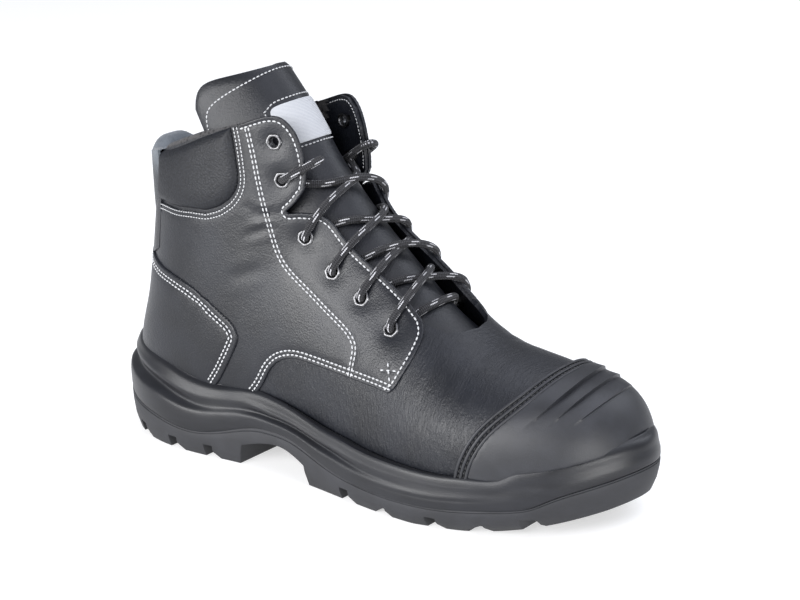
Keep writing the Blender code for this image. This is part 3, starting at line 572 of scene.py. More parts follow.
def upper_steps(section, turn):
    """How a point of the upper moves with its section and with its turn."""
    step = 0.02
    s = np.clip(section, step, LAST_SECTION - step)
    along = (upper_point(s + step, turn) - upper_point(s - step, turn)) / (2 * step)
    around = (upper_point(s, turn + step) - upper_point(s, turn - step)) / (2 * step)
    return along, around


def upper_normal(section, turn):
    """The direction straight out of the upper."""
    along, around = upper_steps(section, turn)
    return unit(np.cross(around, along))


def upper_offset(section, turn, offset):
    """A point at a distance outside the upper, along its normal."""
    section, turn, offset = np.broadcast_arrays(
        np.asarray(section, float), np.asarray(turn, float), np.asarray(offset, float)
    )
    return upper_point(section, turn) + upper_normal(section, turn) * offset[..., None]


def turn_at_level(section, side, level, offset=0.0):
    """The turn, on one side, where a section comes down to a level, or half a turn if it doesn't."""

    def height(turn):
        point = upper_offset(section, side * turn, offset)
        return point[..., 2] - level(point[..., 0])

    section = np.asarray(section, float)
    half_turn = np.full(section.shape, math.pi)
    return np.where(height(half_turn) >= 0, math.pi, solve(height, 0 * section, half_turn))


def sections_at_level(level, offset=0.0):
    """The first section whose ridge is at a level, and the one whose back is."""

    def over(turn):
        def height(section):
            point = upper_offset(section, turn, offset)
            return level(point[..., 0]) - point[..., 2]

        return height

    return float(solve(over(0.0), 0.01, 2.5)), float(solve(over(math.pi), 10.0, 16.0))


def level_above(name, rise):
    return lambda x: LEVEL[name](x) + rise


def tread(x):
    """The height of the tread's lowest face."""
    return sum(
        rise * np.clip((x - start) / run, 0, None) ** power for start, run, rise, power in SPRING_ROWS
    )


def sole_curve():
    """The sole's outline as a closed curve, and where on it the toe tip and the end are."""
    lateral = [(x, -out) for x, out, _ in SOLE_ROWS]
    medial = [(x, out) for x, _, out in reversed(SOLE_ROWS)]
    points = np.array([(HEEL_BACK, 0.0), *lateral, TOE_TIP, *medial, (HEEL_BACK, 0.0)])
    knots = np.concatenate([[0], np.cumsum(np.sqrt(np.linalg.norm(np.diff(points, axis=0), axis=1)))])
    return spline(knots, points, closed=True), knots[len(lateral) + 1], knots[-1]


def sole_ring(steps):
    """The outline along the lateral side to the toe and back, and the inward direction there."""
    curve, toe, end = sole_curve()
    share = np.linspace(0, 1, steps + 1)
    where = np.concatenate([share * toe, (end - share * (end - toe))[-2:0:-1]])
    step = 0.01
    tangent = unit(curve((where + step) % end) - curve((where - step) % end))
    return curve(where), np.column_stack([-tangent[:, 1], tangent[:, 0]])


def plan_middle():
    outline, _ = sole_ring(PLAN_STEPS)
    return np.array([*(outline.min(axis=0) + outline.max(axis=0)) / 2, 0.0])


MIDDLE = plan_middle()


def metres(points):
    """Points of the boot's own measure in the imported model's frame."""
    return (np.asarray(points, float) - MIDDLE) * MM


def tongue_point(along, across):
    """A point of the tongue's outer face: along runs from 0 to 1, across from -1 to 1."""
    rows = np.array(TONGUE_ROWS)
    knots = np.linspace(0, 1, len(rows))
    middle = spline(knots, rows[:, :2])
    size = spline(knots, rows[:, 2:])
    ear, corner = TONGUE_EARS
    where = along * (1 + ear * across**2 - corner * across**10)
    step = 0.01
    tangent = unit(middle(where + step) - middle(where - step))
    half, fall = np.moveaxis(size(where), -1, 0)
    angle = across * TONGUE_SPREAD
    drop = fall * (1 - np.cos(angle)) / (1 - math.cos(TONGUE_SPREAD))
    x, z = np.moveaxis(middle(where), -1, 0)
    y = half * np.sin(angle) / math.sin(TONGUE_SPREAD)
    return np.stack([x - tangent[..., 1] * drop, y, z + tangent[..., 0] * drop], -1)


def tongue_out(along, across):
    """The direction straight out of the tongue's outer face."""
    step = 0.01
    d_along = tongue_point(along + step, across) - tongue_point(along - step, across)
    d_across = tongue_point(along, across + step) - tongue_point(along, across - step)
    return unit(np.cross(d_across, d_along))


def tongue_over(section, across, lift):
    """A point above the tongue under a section of the throat."""
    ridge = upper_point(np.array(section), np.array(0.0))
    along = np.linspace(0.05, 0.95, 181)
    line = tongue_point(along, np.zeros_like(along))
    spot = np.array(along[np.argmin(np.linalg.norm(line - ridge, axis=1))])
    return tongue_point(spot, np.array(across)) + lift * tongue_out(spot, np.array(across))


def eyelet_frame(row, side):
    """The middle of an eyelet on the shell, and its outward and downward directions."""
    section, turn = EYELET_ROWS[row]
    turn = side * math.radians(turn)
    middle = upper_point(np.array(section), np.array(turn))
    out = upper_normal(np.array(section), np.array(turn))
    down = upper_point(np.array(section - 0.1), np.array(turn)) - middle
    return middle, out, unit(down - out * (down @ out))


def eyelet_middles(side):
    return np.array([eyelet_frame(row, side)[0] for row in range(len(EYELET_ROWS))])


# Lines and panels on the upper


def line_on(rows, side, spacing=1.0):
    """A smooth line through a table's places on one side, with even steps in millimetres."""
    table = np.array(rows, float)
    table[:, 1] = side * np.radians(table[:, 1])
    knots = run_along(upper_point(*table.T))
    fine = spline(knots, table)(np.linspace(0, knots[-1], 40 * len(table)))
    return even(fine, spacing)


def even(line, spacing):
    """A line on the upper with even steps in millimetres."""
    run = run_along(upper_point(*line.T))
    count = max(2, int(round(run[-1] / spacing)) + 1)
    places = np.linspace(0, run[-1], count)
    return np.column_stack([np.interp(places, run, line[:, 0]), np.interp(places, run, line[:, 1])])


def joined(*lines):
    """Lines end to end, without their doubled corners."""
    return np.concatenate([line[:-1] for line in lines[:-1]] + [lines[-1]])


def slid(line, distance, closed=False):
    """A line moved over the leather to its left, seen from outside."""
    s, t = line[:, 0], line[:, 1]
    points = upper_point(s, t)
    heading = np.roll(points, -1, 0) - np.roll(points, 1, 0) if closed else np.gradient(points, axis=0)
    along, around = upper_steps(s, t)
    left = unit(np.cross(unit(np.cross(around, along)), heading))
    aa, ab, bb = (along * along).sum(1), (along * around).sum(1), (around * around).sum(1)
    p, q = (along * left).sum(1), (around * left).sum(1)
    det = aa * bb - ab * ab
    return line + distance * np.column_stack([(bb * p - ab * q) / det, (aa * q - ab * p) / det])


def nearest(points, targets):
    """The distance from each point to the nearest of some others."""
    chunks = np.array_split(points, 1 + len(points) // 400)
    found = [np.linalg.norm(chunk[:, None] - targets[None], axis=2).min(axis=1) for chunk in chunks]
    return np.concatenate(found)


def inside(points, border):
    x, y = points.T
    result = np.zeros(len(points), bool)
    for (x0, y0), (x1, y1) in zip(border, np.roll(border, -1, axis=0)):
        if y0 != y1:
            result ^= ((y0 > y) != (y1 > y)) & (x < (x1 - x0) * (y - y0) / (y1 - y0) + x0)
    return result


FLAT_SCALE = np.array([15.0, 46.0])


def panel_mesh(outline, spacing, rims, rows=(), holes=None):
    """Triangles over a closed outline on the upper: their places, faces and distance from the edge."""
    border = outline * FLAT_SCALE
    x, y = border[:, 1], border[:, 0]
    if (x * np.roll(y, -1) - y * np.roll(x, -1)).sum() < 0:
        outline, border = outline[::-1], border[::-1]
    loops = [outline] + [slid(outline, d, closed=True) for d in rims]
    low, high = border.min(axis=0), border.max(axis=0)
    us = np.arange(low[0], high[0], spacing * 0.866)
    vs = np.arange(low[1], high[1], spacing)
    grid = np.array([(u, v + spacing / 2 * (i % 2)) for i, u in enumerate(us) for v in vs])
    grid = grid[inside(grid, border)]
    rims_depth = max(rims, default=0.0)
    grid = grid[nearest(grid, border) > rims_depth + 0.6 * spacing]
    extra = [line[inside(line * FLAT_SCALE, border)] for line in rows]
    extra = [line[nearest(line * FLAT_SCALE, border) > rims_depth + 0.3] for line in extra if len(line)]
    extra = [line for line in extra if len(line)]
    if extra:
        taken = np.concatenate(extra) * FLAT_SCALE
        grid = grid[nearest(grid, taken) > 0.6 * spacing]
    flat = np.concatenate([loop * FLAT_SCALE for loop in loops + extra] + [grid])
    ring = list(range(len(outline)))
    made = delaunay_2d_cdt([Vector(p) for p in flat], [], [ring], 1, 1e-4)
    places = np.array(made[0]) / FLAT_SCALE
    faces = np.array([f for f in made[2] if len(f) == 3])
    points = upper_point(*places.T)
    if holes is not None:
        faces = faces[nearest(points[faces].mean(axis=1), holes) > EYELET_HOLE]
    edge = nearest(points, upper_point(*even(np.vstack([outline, outline[:1]]), 0.4).T))
    return places, faces, edge


def ribbons(rows, half=0.8):
    """Lines with a neighbour on each side, for a mesh that bends along them."""
    return [line for row in rows for line in (row, slid(row, half), slid(row, -half))]


def rounded(edge, height, radius):
    """A panel's height near its edge: a quarter round, then flat."""
    return height - radius + radius * np.sqrt(np.clip(1 - (1 - np.clip(edge / radius, 0, 1)) ** 2, 0, 1))


def groove(points, rows, depth, width):
    """How far lines of stitching pull the leather in."""
    if not len(rows):
        return 0.0
    lines = np.concatenate([upper_point(*row.T) for row in rows])
    return depth * np.exp(-((nearest(points, lines) / width) ** 2))


def dents(points, side):
    depth, width = EYELET_DENT
    return depth * np.exp(-((nearest(points, eyelet_middles(side)) / width) ** 2))


def crease_depth(points, rows, side=1):
    """How far creases sink into the leather, with a slight swell beside them."""
    total = np.zeros(len(points))
    for s0, t0, s1, t1, depth, width in rows:
        turns = np.radians(np.linspace(t0 * side, t1 * side, 30))
        line = even(np.column_stack([np.linspace(s0, s1, 30), turns]), 1.0)
        middle = upper_point(*line.T)
        gaps = np.linalg.norm(points[:, None] - middle[None], axis=2)
        spot = gaps.argmin(axis=1)
        fade = np.sin(np.pi * np.clip(spot / (len(line) - 1), 0.02, 0.98)) ** 0.7
        share = gaps.min(axis=1) / width
        total += depth * fade * (np.exp(-(share**2)) - 0.45 * np.exp(-((share - 1.9) ** 2)))
    return total


def waviness(points, size, height):
    """A slow unevenness of hand-lasted leather."""
    x, y, z = points.T / size
    slow = np.sin(x + 1.7 * np.sin(0.6 * z)) * np.cos(0.8 * y + 0.5)
    return height * (slow + 0.6 * np.sin(1.9 * z - 0.7 * x + 1.1))


# Meshes


def plain_mesh(name, points, faces):
    """A mesh in metres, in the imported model's frame."""
    mesh = bpy.data.meshes.new(name)
    mesh.from_pydata(metres(points).tolist(), [], [list(map(int, f)) for f in faces])
    return mesh


def cleaned(mesh, weld=False, slivers=False):
    """A mesh with its faces outward and, where asked, without doubled points and slivers."""
    bm = bmesh.new()
    bm.from_mesh(mesh)
    if weld:
        bmesh.ops.remove_doubles(bm, verts=bm.verts, dist=WELD)
    if slivers:
        bmesh.ops.dissolve_degenerate(bm, edges=bm.edges, dist=SLIVER)
    bmesh.ops.recalc_face_normals(bm, faces=bm.faces)
    bm.to_mesh(mesh)
    bm.free()
    return mesh


def linked(name, data):
    """A new object in the scene."""
    obj = bpy.data.objects.new(name, data)
    bpy.context.scene.collection.objects.link(obj)
    return obj


def make_piece(name, points, faces, materials, slot=None, nodes=(), indices=None):
    """A finished mesh that rides on the boot and stands for CAD nodes. Its slot is not used."""
    mesh = plain_mesh(name, points, faces)
    for material in materials:
        mesh.materials.append(material)
    if indices is not None:
        mesh.polygons.foreach_set("material_index", np.asarray(indices, np.int32))
    return finish_piece(name, cleaned(mesh, weld=True, slivers=True), slot, nodes)


def finish_piece(name, mesh, slot, nodes, sharp=50.0):
    """A mesh as a piece of the boot, smooth except at edges sharper than an angle in degrees."""
    mesh.shade_smooth()
    mesh.set_sharp_from_angle(angle=math.radians(sharp))
    obj = linked(name, mesh)
    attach(obj, BODY)
    if nodes:
        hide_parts(*nodes)
    return obj


def grid_faces(rows, cols, start=0, around=False):
    """Quads over a grid of points that are numbered row by row."""
    last = cols if around else cols - 1
    return [
        tuple(start + (r + i) * cols + (c + j) % cols for i, j in ((0, 0), (0, 1), (1, 1), (1, 0)))
        for r in range(rows - 1)
        for c in range(last)
    ]


def shell(name, outer, inner, faces, materials, lined=None, **settings):
    """A closed piece between two surfaces with the same faces, walled along every open edge. Its back
    takes the last material, or only where lined says so."""
    faces = [tuple(map(int, f)) for f in faces]
    size = len(outer)
    edges = dict.fromkeys(edge for face in faces for edge in zip(face, face[1:] + face[:1]))
    walls = [(b, a, size + a, size + b) for a, b in edges if (b, a) not in edges]
    back = [tuple(size + i for i in reversed(face)) for face in faces]
    lined = [True] * len(back) if lined is None else lined
    last = len(materials) - 1
    indices = [0] * len(faces) + [last if fabric else 0 for fabric in lined] + [0] * len(walls)
    points = np.concatenate([outer, inner])
    return make_piece(name, points, faces + back + walls, materials, indices=indices, **settings)


def make_panel(
    name, outline, height, material, spacing=1.5, rims=(0.2, 0.5, 1.0), rows=(), holes=None, **settings
):
    """A leather panel on the upper. height gives its face from places, points and edge distance."""
    places, faces, edge = panel_mesh(outline, spacing, rims, rows, holes)
    outer = upper_offset(*places.T, height(places, upper_point(*places.T), edge))
    inner = upper_offset(*places.T, PANEL_FOOT)
    return shell(name, outer, inner, faces, [material], **settings)


def tube(route, radius, sides=14):
    """Rings of points along a route in millimetres, its faces and a place along and around it."""
    route = np.array(route)
    tangents = unit(np.gradient(route, axis=0))
    run = run_along(route)
    side = np.cross(tangents[0], (0.0, 0.0, 1.0))
    angles = np.linspace(0, 2 * math.pi, sides, endpoint=False)
    points = []
    for middle, tangent in zip(route, tangents):
        side = unit(side - tangent * (side @ tangent))
        up = np.cross(side, tangent)
        points.append(middle + radius * (np.outer(np.cos(angles), side) + np.outer(np.sin(angles), up)))
    return np.concatenate(points), grid_faces(len(route), sides, around=True), run


def make_cord(name, route, radius, material, slot, nodes=(), sides=14):
    """A round cord with flat ends, and its length and turn in a UV map."""
    points, faces, run = tube(route, radius, sides)
    last = len(points) - sides
    caps = [tuple(reversed(range(sides))), tuple(range(last, last + sides))]
    mesh = plain_mesh(name, points, faces + caps)
    mesh.materials.append(material)
    uv = mesh.uv_layers.new(name="cord").data
    for polygon in mesh.polygons:
        around = [i % sides for i in polygon.vertices]
        wraps = max(around) - min(around) > sides / 2 and len(around) == 4
        for loop, vertex, place in zip(polygon.loop_indices, polygon.vertices, around):
            turn = place + sides if wraps and place == 0 else place
            uv[loop].uv = (run[vertex // sides] * MM * 100, turn / sides)
    return finish_piece(name, cleaned(mesh), slot, nodes)


def smooth_route(points, spacing=0.8):
    """A smooth curve through given points, with even steps."""
    points = np.array(points)
    knots = run_along(points)
    fine = spline(knots, points)(np.linspace(0, knots[-1], 30 * len(points)))
    run = run_along(fine)
    places = np.linspace(0, run[-1], max(2, int(run[-1] / spacing)))
    return np.column_stack([np.interp(places, run, fine[:, i]) for i in range(3)])


def baked(obj):
    """The evaluated mesh of an object, which is removed."""
    graph = bpy.context.evaluated_depsgraph_get()
    mesh = bpy.data.meshes.new_from_object(obj.evaluated_get(graph), depsgraph=graph)
    bpy.data.objects.remove(obj)
    return mesh


def plain_object(name, points, faces):
    """A working object in metres that isn't a finished piece."""
    return linked(name, cleaned(plain_mesh(name, points, faces), weld=True))


# Node trees that repeat small parts


def new_tree(name, inputs):
    """An empty tree that takes geometry and the named inputs, and gives geometry."""
    tree = bpy.data.node_groups.new(name, "GeometryNodeTree")
    tree.interface.new_socket("Geometry", in_out="INPUT", socket_type="NodeSocketGeometry")
    for label, kind in inputs:
        tree.interface.new_socket(label, in_out="INPUT", socket_type=kind)
    tree.interface.new_socket("Geometry", in_out="OUTPUT", socket_type="NodeSocketGeometry")
    return tree


def tree_node(tree, kind, settings=None, **sockets):
    """A node of a tree, with its settings and its sockets fed or set."""
    made = tree.nodes.new(kind)
    for key, value in (settings or {}).items():
        setattr(made, key, value)
    for key, value in sockets.items():
        socket = made.inputs[key.replace("_", " ")]
        if isinstance(value, bpy.types.NodeSocket):
            tree.links.new(value, socket)
        else:
            socket.default_value = value
    return made


def closing_nodes(tree, geometry, material):
    """The end of a tree: instances made real, smooth and in their material."""
    real = tree_node(tree, "GeometryNodeRealizeInstances", Geometry=geometry)
    smooth = tree_node(tree, "GeometryNodeSetShadeSmooth", Geometry=real.outputs[0])
    painted = tree_node(tree, "GeometryNodeSetMaterial", Geometry=smooth.outputs[0], Material=material)
    out = tree.nodes.new("NodeGroupOutput")
    tree.links.new(painted.outputs[0], out.inputs[0])


def stitch_tree():
    """Stitches along curves: Pitch apart, Length long and Width wide."""
    numbers = ("Pitch", "Length", "Width")
    inputs = [(number, "NodeSocketFloat") for number in numbers] + [("Material", "NodeSocketMaterial")]
    tree = new_tree("stitches along a row", inputs)
    given = tree.nodes.new("NodeGroupInput").outputs
    spots = tree_node(
        tree, "GeometryNodeCurveToPoints", {"mode": "LENGTH"}, Curve=given["Geometry"], Length=given["Pitch"]
    )
    turned = tree_node(
        tree, "FunctionNodeAlignRotationToVector", {"axis": "X"}, Vector=spots.outputs["Tangent"]
    )
    half = [tree_node(tree, "ShaderNodeMath", {"operation": "MULTIPLY"}) for _ in range(2)]
    for made, label in zip(half, ("Length", "Width")):
        tree.links.new(given[label], made.inputs[0])
        made.inputs[1].default_value = 0.5
    long, wide = (made.outputs[0] for made in half)
    size = tree_node(tree, "ShaderNodeCombineXYZ", X=long, Y=wide, Z=wide)
    bead = tree_node(tree, "GeometryNodeMeshUVSphere", Segments=8, Rings=5, Radius=1.0)
    placed = tree_node(
        tree, "GeometryNodeInstanceOnPoints", Points=spots.outputs["Points"], Instance=bead.outputs[0],
        Rotation=turned.outputs[0], Scale=size.outputs[0],
    )
    closing_nodes(tree, placed.outputs[0], given["Material"])
    return tree


def eyelet_tree():
    """One eyelet on each point, turned to the point's own out and down directions."""
    inputs = [("Eyelet", "NodeSocketObject"), ("Material", "NodeSocketMaterial")]
    tree = new_tree("eyelets on points", inputs)
    given = tree.nodes.new("NodeGroupInput").outputs
    part = tree_node(tree, "GeometryNodeObjectInfo", Object=given["Eyelet"])
    out, down = (
        tree_node(tree, "GeometryNodeInputNamedAttribute", {"data_type": "FLOAT_VECTOR"}, Name=label)
        for label in ("out", "down")
    )
    turned = tree_node(
        tree, "FunctionNodeAxesToRotation", {"primary_axis": "Z", "secondary_axis": "X"},
        Primary_Axis=out.outputs[0], Secondary_Axis=down.outputs[0],
    )
    placed = tree_node(
        tree, "GeometryNodeInstanceOnPoints", Points=given["Geometry"], Instance=part.outputs["Geometry"],
        Rotation=turned.outputs[0],
    )
    closing_nodes(tree, placed.outputs[0], given["Material"])
    return tree


def run_tree(obj, tree, **values):
    """The plain mesh that a tree makes of an object, which is removed."""
    modifier = obj.modifiers.new("tree", "NODES")
    modifier.node_group = tree
    for item in tree.interface.items_tree:
        if item.in_out == "INPUT" and item.name in values:
            modifier[item.identifier] = values[item.name]
    return baked(obj)


def stitch_piece(name, rows, sizes, material, scale=1.0):
    """Stitches along rows of points in millimetres, as one piece."""
    curve = bpy.data.curves.new(name, "CURVE")
    curve.dimensions = "3D"
    for row in rows:
        line = curve.splines.new("POLY")
        line.points.add(len(row) - 1)
        for point, place in zip(line.points, metres(row)):
            point.co = (*place, 1.0)
    mesh = run_tree(
        linked(name + "_rows", curve), stitch_tree(), Pitch=sizes.stitch_pitch * scale,
        Length=sizes.stitch_length * scale, Width=sizes.stitch_width * scale, Material=material,
    )
    mesh.name = name
    return finish_piece(name, mesh, None, ())


# Materials


class Wire:
    """A socket in a material, so that sums and products of it are written as such."""

    def __init__(self, finish, socket):
        self.finish = finish
        self.socket = socket

    def math(self, operation, first, second=0.0):
        return self.finish.node("ShaderNodeMath", {"operation": operation}, {0: first, 1: second})

    def __add__(self, other):
        return self.math("ADD", self, other)

    def __sub__(self, other):
        return self.math("SUBTRACT", self, other)

    def __mul__(self, other):
        return self.math("MULTIPLY", self, other)

    def __truediv__(self, other):
        return self.math("DIVIDE", self, other)

    def __pow__(self, other):
        return self.math("POWER", self, other)

    def __rsub__(self, other):
        return self.math("SUBTRACT", other, self)

    def of(self, operation):
        return self.math(operation, self)

    __radd__ = __add__
    __rmul__ = __mul__


class Finish:
    """A material being made: its tree, its shader and the nodes that feed it."""

    def __init__(self, name, **fixed):
        self.material = bpy.data.materials.new(name)
        self.material.use_nodes = True
        self.tree = self.material.node_tree
        self.shader = self.tree.nodes["Principled BSDF"]
        for label, value in fixed.items():
            self.shader.inputs[label.replace("_", " ")].default_value = value

    def feed(self, socket, value):
        if isinstance(value, Wire):
            self.tree.links.new(value.socket, socket)
        else:
            socket.default_value = value

    def node(self, kind, settings=None, sockets=None, out=0):
        made = self.tree.nodes.new(kind)
        for key, value in (settings or {}).items():
            setattr(made, key, value)
        for key, value in (sockets or {}).items():
            self.feed(made.inputs[key], value)
        return Wire(self, made.outputs[out])

    def place(self, scale=(1.0, 1.0, 1.0), turn=(0.0, 0.0, 0.0)):
        spot = self.node("ShaderNodeTexCoord", out="Object")
        return self.node("ShaderNodeMapping", {}, {"Vector": spot, "Scale": scale, "Rotation": turn})

    def noise(self, where, scale, detail=3.0, rough=0.5):
        sockets = {"Vector": where, "Scale": scale, "Detail": detail, "Roughness": rough}
        return self.node("ShaderNodeTexNoise", {}, sockets)

    def cells(self, where, scale):
        return self.node("ShaderNodeTexVoronoi", {}, {"Vector": where, "Scale": scale})

    def between(self, value, low, high):
        kind = {"interpolation_type": "SMOOTHSTEP"}
        return self.node("ShaderNodeMapRange", kind, {0: value, 1: low, 2: high})

    def mix(self, share, first, second):
        first, second = (end if isinstance(end, Wire) else (*end, 1.0) for end in (first, second))
        return self.node("ShaderNodeMix", {"data_type": "RGBA"}, {0: share, 6: first, 7: second}, out=2)

    def shades(self, share, colour, first, second):
        """A colour that goes from one share of itself to another."""
        return self.mix(share, lighter(colour, first), lighter(colour, second))

    def done(self, colour, rough, height=None, strength=0.3, depth=0.0003):
        """The material, with its colour and roughness and a bump whose depth is in metres."""
        self.feed(self.shader.inputs["Base Color"], colour)
        self.feed(self.shader.inputs["Roughness"], rough)
        if height is not None:
            bump = {"Height": height, "Strength": strength, "Distance": depth}
            self.feed(self.shader.inputs["Normal"], self.node("ShaderNodeBump", {}, bump))
        return self.material


def lighter(colour, factor):
    """A colour made lighter, or darker by a factor below 1."""
    return tuple(c * factor for c in colour)


def smooth_leather(name, colour, wrinkle, rough):
    """Waxed smooth leather: pores, a fine grain, slow unevenness and, where it flexes, fine wrinkles."""
    mat = Finish(name, IOR=1.38)
    spot = mat.place()
    pores = mat.cells(spot, 1000.0)
    grain = mat.noise(spot, 1500.0, 4.0, 0.6)
    slow = mat.noise(spot, 38.0, 3.0)
    coarse = mat.noise(spot, 160.0, 3.0)
    height = pores * 0.35 + grain * 0.5 + coarse * (0.22 if wrinkle else 0.5)
    if wrinkle:
        bent = mat.place(scale=(1.0, 0.16, 0.2), turn=(0.0, 0.0, 0.25))
        folds = mat.noise(bent, 1100.0, 4.0, 0.6)
        height = height + (1 - mat.between(folds, 0.32, 0.6)) * wrinkle
    shade = mat.shades(mat.between(slow + grain * 0.25, 0.4, 0.85), colour, 0.8, 1.45)
    gloss = rough - 0.06 + slow * 0.14 + grain * 0.06
    return mat.done(shade, gloss, height, strength=0.4, depth=0.0005)


def pebbled_leather(name, colour):
    """Softer collar leather with a fine pebble."""
    mat = Finish(name, IOR=1.36)
    spot = mat.place()
    pebble = mat.cells(spot, 900.0)
    fine = mat.noise(spot, 1500.0, 4.0, 0.65)
    slow = mat.noise(spot, 45.0)
    shade = mat.shades(mat.between(pebble + fine * 0.4, 0.3, 0.95), colour, 1.4, 0.75)
    gloss = 0.44 + slow * 0.12 + pebble * 0.1
    return mat.done(shade, gloss, (1 - pebble) * 0.8 + fine * 0.4, strength=0.5, depth=0.00045)


def nubuck(name, colour):
    """Brushed leather with a nap, darker at the foot of the strip."""
    mat = Finish(name, Sheen_Weight=0.15, Sheen_Roughness=0.5, IOR=1.3)
    spot = mat.place()
    nap = mat.noise(spot, 900.0, 5.0, 0.7)
    slow = mat.noise(spot, 120.0, 3.0)
    level = mat.node("ShaderNodeSeparateXYZ", {}, {0: spot}, out="Z")
    high = mat.between(level + slow * 0.004, 0.142, 0.154)
    upper = mat.shades(mat.between(nap * 0.6 + slow * 0.6, 0.35, 0.85), colour, 0.7, 1.4)
    shade = mat.mix(high, lighter(colour, 0.3), upper)
    return mat.done(shade, 0.85 + nap * 0.1, nap, strength=0.6, depth=0.0005)


def woven_lining(name, colour):
    """A spacer textile with small open cells."""
    mat = Finish(name, Sheen_Weight=0.05, IOR=1.3)
    spot = mat.place()
    holes = mat.cells(spot, 420.0)
    yarn = mat.noise(spot, 1600.0, 3.0)
    shade = mat.shades(mat.between(holes, 0.15, 0.5), colour, 0.35, 1.3)
    return mat.done(shade, 0.82 + yarn * 0.12, holes + yarn * 0.3, strength=0.7, depth=0.0008)


def moulded_foam(name, colour):
    """Matt moulded midsole with a soft skin, faint flow marks and rubbed patches."""
    mat = Finish(name, IOR=1.38)
    spot = mat.place()
    flow = mat.noise(mat.place(scale=(0.22, 0.5, 2.2)), 120.0, 4.0, 0.6)
    skin = mat.noise(spot, 1200.0, 4.0, 0.65)
    patch = mat.noise(spot, 26.0, 4.0, 0.6)
    shade = mat.shades(mat.between(patch * 0.7 + flow * 0.5, 0.45, 0.8), colour, 0.85, 1.5)
    gloss = 0.25 + patch * 0.2 + flow * 0.1
    return mat.done(shade, gloss, skin * 0.6 + flow * 0.8, strength=0.22, depth=0.0004)


def moulded_rubber(name, colour, rough):
    """Moulded rubber with a fine skin and a little dust."""
    mat = Finish(name, IOR=1.44)
    spot = mat.place()
    skin = mat.noise(spot, 1500.0, 4.0, 0.7)
    dust = mat.noise(spot, 60.0, 4.0, 0.65)
    shade = mat.shades(mat.between(dust, 0.35, 0.75), colour, 0.85, 1.35)
    gloss = rough - 0.08 + dust * 0.16 + skin * 0.05
    return mat.done(shade, gloss, skin + dust * 0.5, strength=0.25, depth=0.0003)


def plated_metal(name, colour):
    """Dark plating with light scuffs."""
    mat = Finish(name, Metallic=1.0)
    spot = mat.place()
    scuff = mat.noise(spot, 900.0, 4.0, 0.7)
    shade = mat.shades(mat.between(scuff, 0.35, 0.7), colour, 0.75, 1.25)
    return mat.done(shade, 0.24 + scuff * 0.2, scuff, strength=0.12, depth=0.0001)


def sewing_thread(name, colour):
    """Twisted thread."""
    mat = Finish(name, Sheen_Weight=0.3, IOR=1.4)
    spot = mat.place()
    twist = mat.noise(spot, 2600.0, 2.0)
    shade = mat.shades(mat.between(twist, 0.3, 0.7), colour, 0.7, 1.05)
    return mat.done(shade, 0.6 + twist * 0.2, twist, strength=0.4, depth=0.0002)


def braided_lace(name, colour, fleck):
    """A round braid with pale yarns that surface in pairs of dashes, read from the cord's own map."""
    mat = Finish(name, Sheen_Weight=0.05, IOR=1.35)
    spot = mat.node("ShaderNodeUVMap", {"uv_map": "cord"})
    run, turn = (mat.node("ShaderNodeSeparateXYZ", {}, {0: spot}, out=axis) for axis in ("X", "Y"))

    def ripple(value):
        return (value * (2 * math.pi)).of("SINE")

    plait = ripple(run * 5.0 + turn * 4.0) * ripple(run * 5.0 - turn * 4.0)
    around = (turn * 3.0).of("FRACT")
    strand = (turn * 3.0).of("FLOOR")
    along = (run * 0.8 + strand * 0.37 - around * 0.12).of("FRACT")
    first, second = (mat.between((around - place).of("ABSOLUTE"), 0.1, 0.05) for place in (0.32, 0.68))
    dash = mat.between(along, 0.08, 0.12) * (1 - mat.between(along, 0.46, 0.5))
    late = mat.between(along, 0.2, 0.24) * (1 - mat.between(along, 0.58, 0.62))
    broken = mat.between(plait, -0.75, 0.1)
    pale = (first * dash + second * late) * broken
    yarn = mat.noise(mat.place(), 2200.0, 3.0)
    dark = mat.shades(mat.between(plait + yarn * 0.6, -0.6, 1.0), colour, 0.5, 2.2)
    shade = mat.mix(pale, dark, fleck)
    return mat.done(shade, 0.68 + yarn * 0.2, plait + yarn * 0.5, strength=0.7, depth=0.0006)


def woven_label(name, colour):
    """A tight weave with fine ribs."""
    mat = Finish(name, Sheen_Weight=0.2, IOR=1.4)
    spot = mat.place()
    ribs = {"Vector": spot, "Scale": 520.0, "Distortion": 0.6}
    weave = mat.node("ShaderNodeTexWave", {"bands_direction": "Z"}, ribs)
    yarn = mat.noise(spot, 1500.0, 3.0)
    shade = mat.shades(mat.between(weave * 0.6 + yarn * 0.6, 0.25, 0.9), colour, 0.82, 1.08)
    return mat.done(shade, 0.7 + yarn * 0.15, weave + yarn * 0.4, strength=0.35, depth=0.0003)


def pale_floor(name):
    """A plain pale floor that glows a little, so that it stays even."""
    mat = Finish(name, Emission_Color=(1.0, 1.0, 1.0, 1.0), Emission_Strength=0.56)
    tone = mat.noise(mat.place(), 3.0, 2.0)
    return mat.done(mat.mix(tone, (0.5, 0.5, 0.5), (0.53, 0.53, 0.53)), 0.75)


